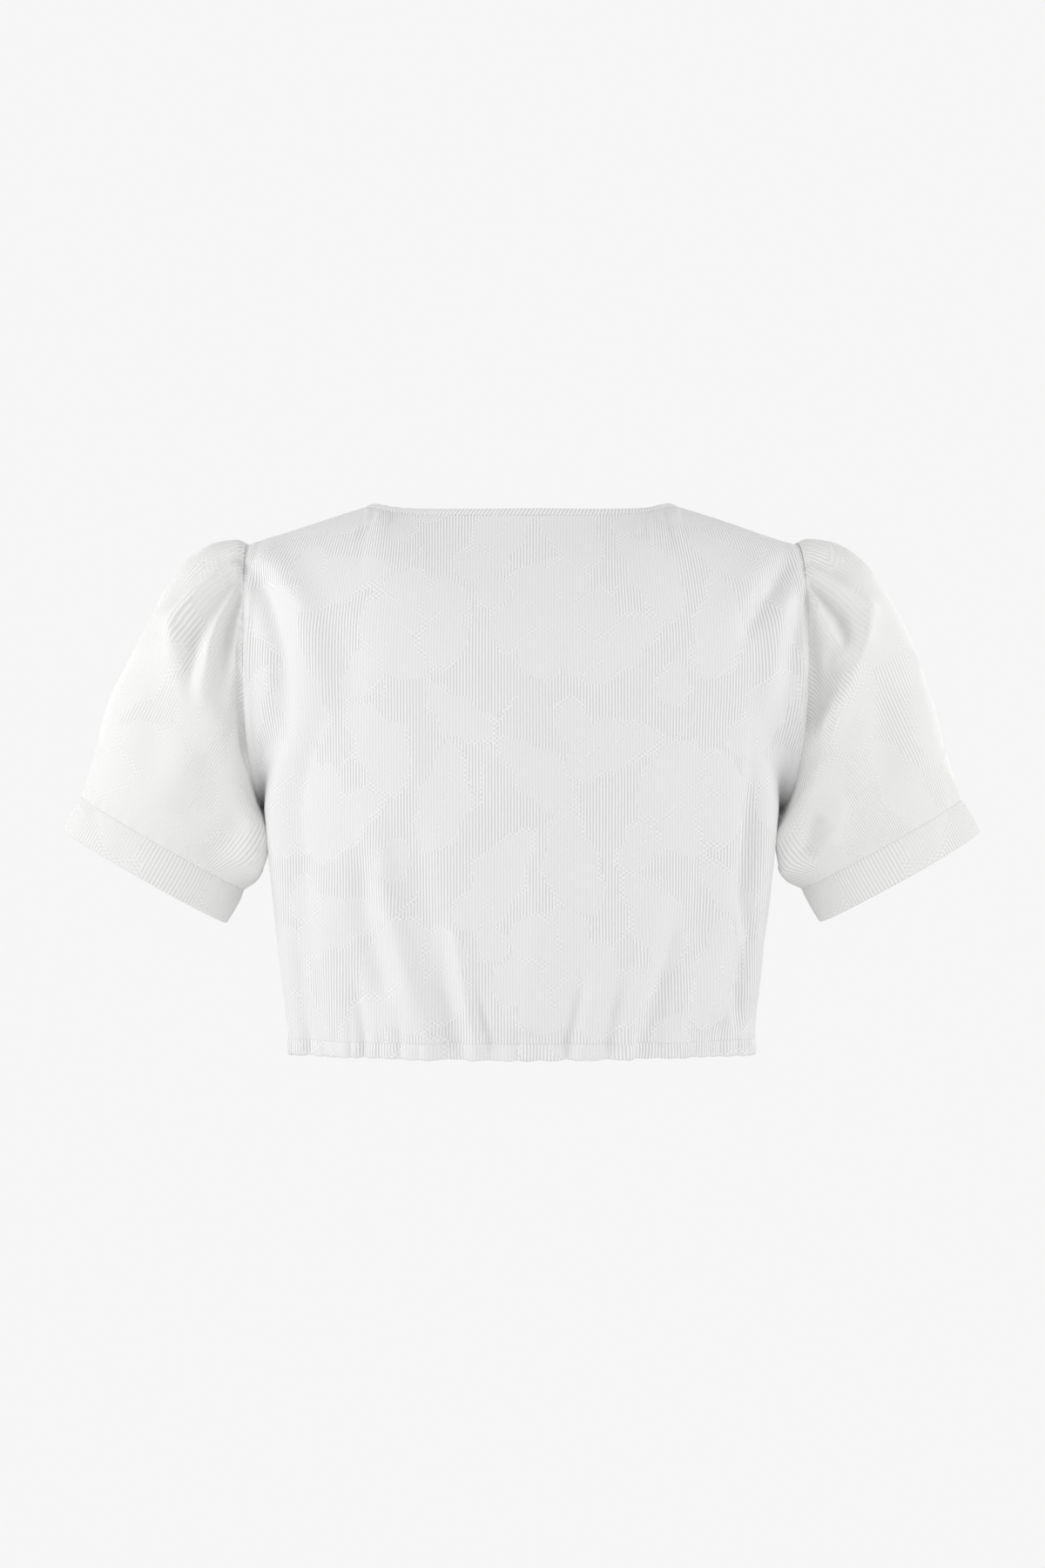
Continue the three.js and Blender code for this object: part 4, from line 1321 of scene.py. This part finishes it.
@dataclass
class HemCasing:
    """The casing that the elastic gathers.

    Attributes:
        bodice: The panels above it.
        columns_per_gather: Points in each gather.
        wall: Thickness over the elastic.
        cloth_round: Length of its cloth before it was gathered.
        girth: Length of its section.
    """

    bodice: Bodice
    columns_per_gather: int = 12
    wall: float = 2.8
    cloth_round: float = 980.0
    girth: float = 26.0

    def ring(self) -> tuple[Array, Array, Array]:
        """Reads the panels' last row, which the casing continues.

        Returns:
            Points from the right side by the back, their normals, and the place round from 0 to 4.
        """
        body = self.bodice
        count = body.hem_gathers * self.columns_per_gather
        quarter = np.arange(count) / count * 4
        back = quarter < 2
        points = []
        for cut, u in ((BACK_CUT, 1 - quarter[back]), (FRONT_CUT, quarter[~back] - 3)):
            places, row = body.hem_rows[cut.side]
            points.append(stack(*(np.interp(u, places, row[:, k]) for k in range(3))))
        edge = np.concatenate(points)
        tangent = np.roll(edge, -2, axis=0) - np.roll(edge, 2, axis=0)
        normal = np.cross(tangent, np.array([0.0, 0.0, -1.0]))
        normal /= np.linalg.norm(normal, axis=-1, keepdims=True)
        return edge, normal, quarter

    def build(self, grain: Grain) -> bpy.types.Object:
        """Builds the gathered casing as a closed, puffed band.

        Args:
            grain: How the cloth lies.

        Returns:
            The piece.
        """
        body = self.bodice
        edge, normal, quarter = self.ring()
        gather = body.casing_gather(quarter)
        tall = body.casing_top - body.hem_z
        face = np.linspace(0, tall - 1.2, 12)
        low = np.linspace(0, math.pi, 7)[1:-1]
        bow = 0.5 * np.sin(face / tall * math.pi)
        fall = np.concatenate([face, tall - 1.2 + 1.2 * np.sin(low), face[::-1]])
        out = np.concatenate([bow, self.wall / 2 * (np.cos(low) - 1), -self.wall + 0 * face])
        grow = (0.9 * smoothstep(fall / 5.0) - 0.5 * smoothstep((fall - 7.0) / 4.0))[:, None]
        outside = (out > -0.6)[:, None]
        lean = 0.5 * np.sin(quarter * 41.0)[None] * (fall / tall)[:, None]
        lift = out[:, None] + np.where(outside, 1.0, 0.3) * grow * gather[None]
        hem = 0.9 * gather + 0.5 * np.sin(quarter * 7.0 + 0.7) - 0.1
        drop = fall[:, None] * (1 + (hem / tall)[None] * (fall / tall)[:, None])
        tangent = np.roll(edge, -1, axis=0) - np.roll(edge, 1, axis=0)
        tangent /= np.linalg.norm(tangent, axis=-1, keepdims=True)
        outer = edge[None] + normal[None] * lift[..., None] + tangent[None] * lean[..., None]
        outer[..., 2] = edge[None, :, 2] - 0.06 - drop
        around = np.arange(len(edge) + 1) / len(edge) * self.cloth_round
        girth = np.linspace(0, self.girth, len(fall) + 1)
        around, across = np.meshgrid(around, girth)
        lay_across, lay_up = grain.lay(around, -across)
        shell = ClothShell("hem_casing_cloth", outer, None, lay_across, lay_up, True, False, tube=True)
        return shell.build()


def node(
    tree: bpy.types.NodeTree,
    kind: str,
    links: dict[int | str, object] | None = None,
    **settings: object,
) -> bpy.types.Node:
    """Adds a node with its settings and links.

    Args:
        tree: The material's or world's node tree.
        kind: The node's type name.
        links: For each input, an output socket to link or a value to set.
        **settings: Properties of the node itself.

    Returns:
        The node.
    """
    made = tree.nodes.new(kind)
    for name, value in settings.items():
        setattr(made, name, value)
    for key, value in (links or {}).items():
        if isinstance(value, bpy.types.NodeSocket):
            tree.links.new(value, made.inputs[key])
        else:
            made.inputs[key].default_value = value
    return made


class Weave(Enum):
    """Which of the cloth's weaves a piece shows."""

    FLORAL = "ribs with woven motifs"
    RIBBED = "ribs alone"


@dataclass(frozen=True)
class RibbedJacquard:
    """White cotton and viscose jacquard, woven on a loom that lifts each warp rib by itself.

    The ground is a fine vertical rib, which the eye sees as lines 2.2 mm apart. The motifs are
    satin, smoother than the ground and of the same tone, with an edge of small dotted stitches.

    Attributes:
        name: The material's name.
        weave: Whether it has the motifs.
        rib_pitch: Millimetres from rib to rib.
        weft_pitch: Millimetres from pick to pick, drawn as coarse as it needs to show.
        dot_pitch: Millimetres from dot to dot along an outline.
        rib_height: Height of a rib in millimetres.
        yarn_shift: Millimetres that a rib in the satin strays sideways.
        fray: Millimetres over which the motifs' edges stray.
        edge_start: Millimetres inside a motif's edge where the satin starts.
        edge_full: Millimetres inside its edge where the satin is whole.
        line_reach: Millimetres from an outline where its stitches start.
        line_full: Millimetres from an outline where its stitches are whole.
        satin_ribs: How much of the rib is left in the satin, from 0 to 1.
        satin_weft: How much of the weft shows in the satin, from 0 to 1.
        satin_level: Height of the satin's low places, from 0 to 1, which also sets how much painted shade
            they take.
        white: Colour of a rib's crest and of the satin.
        painted_valley_shade: Painted shade between the ribs, the colour that the weave's low places take.
        ground_roughness: Roughness of the ribbed ground.
        satin_roughness: Roughness of the motifs.
        relief: How clearly the ribs stand out, in their bump and in their painted shade; lower on the
            sleeves and cuffs.
    """

    name: str = "white_ribbed_jacquard"
    weave: Weave = Weave.FLORAL
    rib_pitch: float = 2.2
    weft_pitch: float = 0.9
    dot_pitch: float = 3.4
    rib_height: float = 0.32
    yarn_shift: float = 1.1
    fray: float = 2.6
    edge_start: float = 0.2
    edge_full: float = 1.0
    line_reach: float = 2.0
    line_full: float = 1.1
    satin_ribs: float = 0.26
    satin_weft: float = 0.04
    satin_level: float = 0.3
    white: str = "#FAFAFA"
    # Painted shade: the colour between the ribs is darker only because shade falls in the valleys.
    painted_valley_shade: str = "#DADADA"
    ground_roughness: float = 0.78
    satin_roughness: float = 0.5
    relief: float = 1.0

    def make(self) -> bpy.types.Material:
        """Makes the material.

        Returns:
            The material, ready for any of the cloth shells.
        """
        material = bpy.data.materials.new(self.name)
        material.use_nodes = True
        tree = material.node_tree
        tree.nodes.clear()
        place = node(tree, "ShaderNodeUVMap", uv_map="cloth").outputs[0]
        satin, outline = self.motifs(tree, place) if self.weave is Weave.FLORAL else (0.0, 0.0)
        height = self.height(tree, place, satin, outline)
        # Painted shade: the colour goes from the valley shade in the weave's low places to the white on its
        # crests.
        painted_shade_colours = {0: height, 6: linear_colour(self.painted_valley_shade), 7: linear_colour(self.white)}
        colour = node(tree, "ShaderNodeMix", painted_shade_colours, data_type="RGBA").outputs[2]
        rough = node(tree, "ShaderNodeMix", {0: satin, 2: self.ground_roughness, 3: self.satin_roughness})
        bump = node(tree, "ShaderNodeBump", {"Distance": self.rib_height * MM, "Height": height})
        surface = node(
            tree,
            "ShaderNodeBsdfPrincipled",
            {
                "Base Color": colour,
                "Roughness": rough.outputs[0],
                "IOR": 1.47,
                "Specular IOR Level": 0.35,
                "Sheen Weight": 0.12,
                "Sheen Roughness": 0.4,
                "Normal": bump.outputs[0],
            },
        )
        node(tree, "ShaderNodeOutputMaterial", {"Surface": surface.outputs[0]})
        return material

    def motifs(
        self, tree: bpy.types.NodeTree, place: bpy.types.NodeSocket
    ) -> tuple[bpy.types.NodeSocket, bpy.types.NodeSocket]:
        """Reads where the satin and its dotted outline lie, with edges frayed by the yarns' steps.

        Args:
            tree: The node tree.
            place: The place on the cloth.

        Returns:
            The satin and the outline, each from 0 to 1.
        """
        frayed = node(tree, "ShaderNodeTexNoise", {"Vector": place, "Scale": 240.0, "Detail": 1.0})
        fray = {0: frayed.outputs[0], 1: self.fray, 2: -self.fray / 2}
        frayed = node(tree, "ShaderNodeMath", fray, operation="MULTIPLY_ADD")
        masks = []
        steps = {"motif": (self.edge_start, self.edge_full), "line": (self.line_reach, self.line_full)}
        for name, (start, full) in steps.items():
            inside = node(tree, "ShaderNodeAttribute", attribute_name=name).outputs["Fac"]
            inside = node(tree, "ShaderNodeMath", {0: inside, 1: frayed.outputs[0]}, operation="ADD")
            step = {0: inside.outputs[0], 1: start, 2: full}
            masks.append(node(tree, "ShaderNodeMapRange", step, interpolation_type="SMOOTHSTEP").outputs[0])
        worn = node(tree, "ShaderNodeTexNoise", {"Vector": place, "Scale": 34.0, "Detail": 1.0})
        step = {0: worn.outputs[0], 1: 0.36, 2: 0.68}
        kept = node(tree, "ShaderNodeMapRange", step, interpolation_type="SMOOTHSTEP")
        outline = node(tree, "ShaderNodeMath", {0: masks[1], 1: kept.outputs[0]}, operation="MULTIPLY")
        return masks[0], outline.outputs[0]

    def height(
        self,
        tree: bpy.types.NodeTree,
        place: bpy.types.NodeSocket,
        satin: bpy.types.NodeSocket | float,
        outline: bpy.types.NodeSocket | float,
    ) -> bpy.types.NodeSocket:
        """Works out the height of the weave: ribs, the satin's loose ribs and the outline's dots. The
        height drives the bump and the painted shade of the colour.

        Args:
            tree: The node tree.
            place: The place on the cloth.
            satin: Where the satin lies.
            outline: Where its outline lies.

        Returns:
            The height, from 0 to 1.
        """
        split = node(tree, "ShaderNodeSeparateXYZ", {0: place})
        across, up = split.outputs[0], split.outputs[1]
        rib = self.wave(tree, across, self.rib_pitch)
        weft = self.wave(tree, up, self.weft_pitch)
        yarn = node(tree, "ShaderNodeTexNoise", {"Vector": place, "Scale": 420.0, "Detail": 2.0})
        stray = {0: yarn.outputs[0], 1: self.yarn_shift * MM, 2: across}
        stray = node(tree, "ShaderNodeMath", stray, operation="MULTIPLY_ADD")
        loose = self.wave(tree, stray.outputs[0], self.rib_pitch)
        loose = {0: loose, 1: self.satin_ribs, 2: self.satin_level}
        loose = node(tree, "ShaderNodeMath", loose, operation="MULTIPLY_ADD")
        soft = {0: weft, 1: self.satin_weft, 2: loose.outputs[0]}
        soft = node(tree, "ShaderNodeMath", soft, operation="MULTIPLY_ADD")
        body = node(tree, "ShaderNodeMix", {0: satin, 2: rib, 3: soft.outputs[0]})
        dots = {0: self.dots(tree, across, up), 1: 0.8, 2: 0.08}
        dots = node(tree, "ShaderNodeMath", dots, operation="MULTIPLY_ADD")
        stitched = node(tree, "ShaderNodeMix", {0: outline, 2: body.outputs[0], 3: dots.outputs[0]})
        return node(tree, "ShaderNodeMix", {0: self.relief, 2: 0.5, 3: stitched.outputs[0]}).outputs[0]

    def wave(
        self, tree: bpy.types.NodeTree, place: bpy.types.NodeSocket, pitch: float, low: float = 0.0
    ) -> bpy.types.NodeSocket:
        """Makes a wave along one direction of the cloth.

        Args:
            tree: The node tree.
            place: Length along the cloth, in metres.
            pitch: Millimetres from crest to crest.
            low: Its lowest value, where its highest is 1.

        Returns:
            The wave.
        """
        per_metre = 2 * math.pi / (pitch * MM)
        turns = node(tree, "ShaderNodeMath", {0: place, 1: per_metre}, operation="MULTIPLY")
        sine = node(tree, "ShaderNodeMath", {0: turns.outputs[0]}, operation="SINE")
        span = {0: sine.outputs[0], 1: (1 - low) / 2, 2: (1 + low) / 2}
        return node(tree, "ShaderNodeMath", span, operation="MULTIPLY_ADD").outputs[0]

    def dots(
        self, tree: bpy.types.NodeTree, across: bpy.types.NodeSocket, up: bpy.types.NodeSocket
    ) -> bpy.types.NodeSocket:
        """Makes soft dots that are set like a chessboard's fields.

        Args:
            tree: The node tree.
            across: Length across the cloth.
            up: Length up the cloth.

        Returns:
            The dots, from 0 to 1.
        """
        wide = self.wave(tree, across, 2 * self.rib_pitch, -1.0)
        tall = self.wave(tree, up, self.dot_pitch, -1.0)
        both = node(tree, "ShaderNodeMath", {0: wide, 1: tall}, operation="MULTIPLY")
        span = {0: both.outputs[0], 1: 0.5, 2: 0.5}
        return node(tree, "ShaderNodeMath", span, operation="MULTIPLY_ADD").outputs[0]


@dataclass(frozen=True)
class Studio:
    """A pale studio with soft light from both sides and a camera behind the blouse.

    Attributes:
        backdrop: The pale backdrop's colour.
        floor_z: Height of the floor, in metres.
        floor_radius: Where the floor has faded away, in metres.
        lamps: Each lamp's name, its degrees from the camera's side, its height in metres and its watts.
        lamp_away: Distance of the lamps from the blouse, in metres.
        lamp_side: Side of a lamp's square, in metres.
        aim_z: Height that the lamps aim at, in metres.
        fill: Brightness of the surroundings.
    """

    backdrop: str = "#F6F6F6"
    floor_z: float = -0.93
    floor_radius: float = 0.5
    lamps: tuple[tuple[str, float, float, float], ...] = (
        ("light_left", -74.0, 0.7, 20.0),
        ("light_right", 74.0, 0.7, 16.0),
        ("fill_left", -36.0, -0.3, 4.6),
        ("fill_right", 36.0, -0.3, 3.6),
        ("front", 0.0, -0.5, 4.0),
        ("low_left", -60.0, -1.6, 9.0),
        ("low_right", 60.0, -1.6, 8.0),
        ("rim_left", -138.0, 0.3, 10.0),
        ("rim_right", 138.0, 0.3, 10.0),
    )
    lamp_away: float = 2.0
    lamp_side: float = 1.5
    aim_z: float = -0.2
    fill: float = 0.47

    def build(self) -> None:
        """Makes the backdrop, floor, lights and camera."""
        bpy.context.scene.view_settings.view_transform = "Standard"
        self.surroundings()
        self.floor()
        for name, degrees, height, power in self.lamps:
            angle = math.radians(degrees)
            place = (self.lamp_away * math.sin(angle), -self.lamp_away * math.cos(angle), height)
            self.light(name, place, power)
        self.camera()

    def surroundings(self) -> None:
        """Makes a world that is the backdrop to the eye and a soft fill to the cloth."""
        world = bpy.data.worlds.new("studio")
        bpy.context.scene.world = world
        world.use_nodes = True
        tree = world.node_tree
        tree.nodes.clear()
        path = node(tree, "ShaderNodeLightPath")
        seen = node(tree, "ShaderNodeBackground", {0: linear_colour(self.backdrop), 1: 1.0})
        lit = node(tree, "ShaderNodeBackground", {0: (1.0, 1.0, 1.0, 1.0), 1: self.fill})
        both = node(
            tree,
            "ShaderNodeMixShader",
            {0: path.outputs["Is Camera Ray"], 1: lit.outputs[0], 2: seen.outputs[0]},
        )
        node(tree, "ShaderNodeOutputWorld", {"Surface": both.outputs[0]})

    def floor(self) -> None:
        """Makes a pale floor that fades into the backdrop."""
        bpy.ops.object.select_all(action="DESELECT")
        bpy.ops.mesh.primitive_circle_add(vertices=96, radius=self.floor_radius, fill_type="TRIFAN")
        floor = bpy.context.object
        floor.name = "studio_floor"
        floor.location.z = self.floor_z
        bpy.ops.object.transform_apply(location=True)
        material = bpy.data.materials.new("pale_studio_floor")
        material.use_nodes = True
        tree = material.node_tree
        tree.nodes.clear()
        place = node(tree, "ShaderNodeTexCoord").outputs["Object"]
        flat = node(tree, "ShaderNodeVectorMath", {0: place, 1: (1.0, 1.0, 0.0)}, operation="MULTIPLY")
        away = node(tree, "ShaderNodeVectorMath", {0: flat.outputs[0]}, operation="LENGTH").outputs["Value"]
        gone = node(
            tree,
            "ShaderNodeMapRange",
            {0: away, 1: self.floor_radius * 0.55, 2: self.floor_radius * 0.98, 3: 0.0, 4: 1.0},
            interpolation_type="SMOOTHSTEP",
        )
        paper = node(tree, "ShaderNodeBsdfDiffuse", {"Color": linear_colour("#F2F2F1")})
        clear = node(tree, "ShaderNodeBsdfTransparent")
        both = node(
            tree,
            "ShaderNodeMixShader",
            {0: gone.outputs[0], 1: paper.outputs[0], 2: clear.outputs[0]},
        )
        node(tree, "ShaderNodeOutputMaterial", {"Surface": both.outputs[0]})
        floor.data.materials.append(material)

    def light(self, name: str, place: tuple[float, float, float], power: float) -> None:
        """Adds a square soft light that faces the blouse.

        Args:
            name: The light's name.
            place: Where it stands, in metres.
            power: Its watts.
        """
        data = bpy.data.lights.new(name, "AREA")
        data.size = self.lamp_side
        data.energy = power
        lamp = bpy.data.objects.new(name, data)
        lamp.location = place
        aim = np.array([0.0, 0.0, self.aim_z]) - np.array(place)
        lamp.rotation_euler = direction(aim)
        bpy.context.scene.collection.objects.link(lamp)

    def camera(self) -> None:
        """Adds the camera, level and square to the back."""
        data = bpy.data.cameras.new("camera")
        data.lens = data.sensor_width * CAMERA_BACK / FRAME_TALL
        data.clip_start = 0.05
        data.clip_end = 50.0
        camera = bpy.data.objects.new("camera", data)
        camera.location = (CAMERA_SIDE * MM, -CAMERA_BACK * MM, -CAMERA_DROP * MM)
        camera.rotation_euler = (math.pi / 2, 0.0, 0.0)
        bpy.context.scene.collection.objects.link(camera)
        bpy.context.scene.camera = camera


def direction(aim: Array) -> tuple[float, float, float]:
    """Turns a direction into the rotation of a light that shines along it.

    Args:
        aim: The direction.

    Returns:
        Euler angles in radians.
    """
    flat = math.hypot(aim[0], aim[1])
    return math.atan2(flat, -aim[2]), 0.0, math.atan2(-aim[0], aim[1])


@dataclass(frozen=True)
class Cut:
    """What a sewn piece was cut to and how it is held.

    Attributes:
        width: Width of its cut, in metres.
        length: Length of its cut, in metres.
        area: Flat area of its cut, in square metres.
        held: How the cloth is held.
        rests_on: What it is sewn to.
    """

    width: float
    length: float
    area: float
    held: str
    rests_on: tuple[str, ...]


PANELS = ("back", "front")
CUTS = {
    "back": Cut(0.5, 0.42, 0.18, "stretched", ("front", "hem_casing")),
    "front": Cut(0.52, 0.42, 0.18, "stretched", ("back", "hem_casing")),
    "sleeve_left": Cut(0.44, 0.25, 0.088, "gathered", PANELS),
    "sleeve_right": Cut(0.44, 0.25, 0.088, "gathered", PANELS),
    "cuff_left": Cut(0.34, 0.028, 0.0095, "stretched", ("sleeve_left",)),
    "cuff_right": Cut(0.34, 0.028, 0.0095, "stretched", ("sleeve_right",)),
    "neck_binding": Cut(0.63, 0.011, 0.0055, "stretched", PANELS),
    "hem_casing": Cut(0.98, 0.013, 0.0127, "gathered", PANELS),
}


def dress(made: bpy.types.Object, solid: str, material: bpy.types.Material) -> None:
    """Gives a piece its material and its place on the body, and reports it.

    Args:
        made: The finished piece.
        solid: The solid that it replaces.
        material: Its cloth.
    """
    made.data.materials.append(material)
    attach(made, "root")
    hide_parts(solid)
    piece = CUTS[solid]
    list(piece.rests_on)
    LOG.info("%s: %d faces", made.name, len(made.data.polygons))


def main() -> None:
    """Builds the blouse and its studio."""
    logging.basicConfig(level=logging.INFO, format="%(name)s %(message)s")
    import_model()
    Studio().build()
    bodice = Bodice()
    floral = RibbedJacquard().make()
    bias = RibbedJacquard(name="white_bias_binding", weave=Weave.RIBBED).make()
    # The sleeves and cuffs take a copy with a lighter painted shade, a slightly warmer white and less
    # relief: painted light, to match the brighter light on them.
    gathered = RibbedJacquard(
        name="white_jacquard_painted_lighter", white="#FAFAF9", painted_valley_shade="#DCDCDB", relief=0.75
    ).make()
    dress(bodice.panel(BACK_CUT, "back_cloth", bodice.back_folds, Grain(0, 30, 12)), "back", floral)
    dress(bodice.panel(FRONT_CUT, "front_cloth", bodice.front_folds, Grain(0, 118, 60)), "front", floral)
    left = Sleeve(Hand.LEFT, LEFT_LINES, LEFT_BACK_FOLDS, bodice=bodice)
    right = Sleeve(Hand.RIGHT, RIGHT_LINES, RIGHT_BACK_FOLDS, bodice=bodice)
    for sleeve in (left, right):
        cloth = sleeve.build_sleeve(Grain(0, 40 + 60 * sleeve.hand.value, 30))
        dress(cloth, f"sleeve_{sleeve.word}", gathered)
        dress(sleeve.build_cuff(Grain(0, 20, 70)), f"cuff_{sleeve.word}", gathered)
    dress(NeckBinding(bodice).build(Grain(38)), "neck_binding", bias)
    dress(HemCasing(bodice).build(Grain()), "hem_casing", floral)


if __name__ == "__main__":
    main()
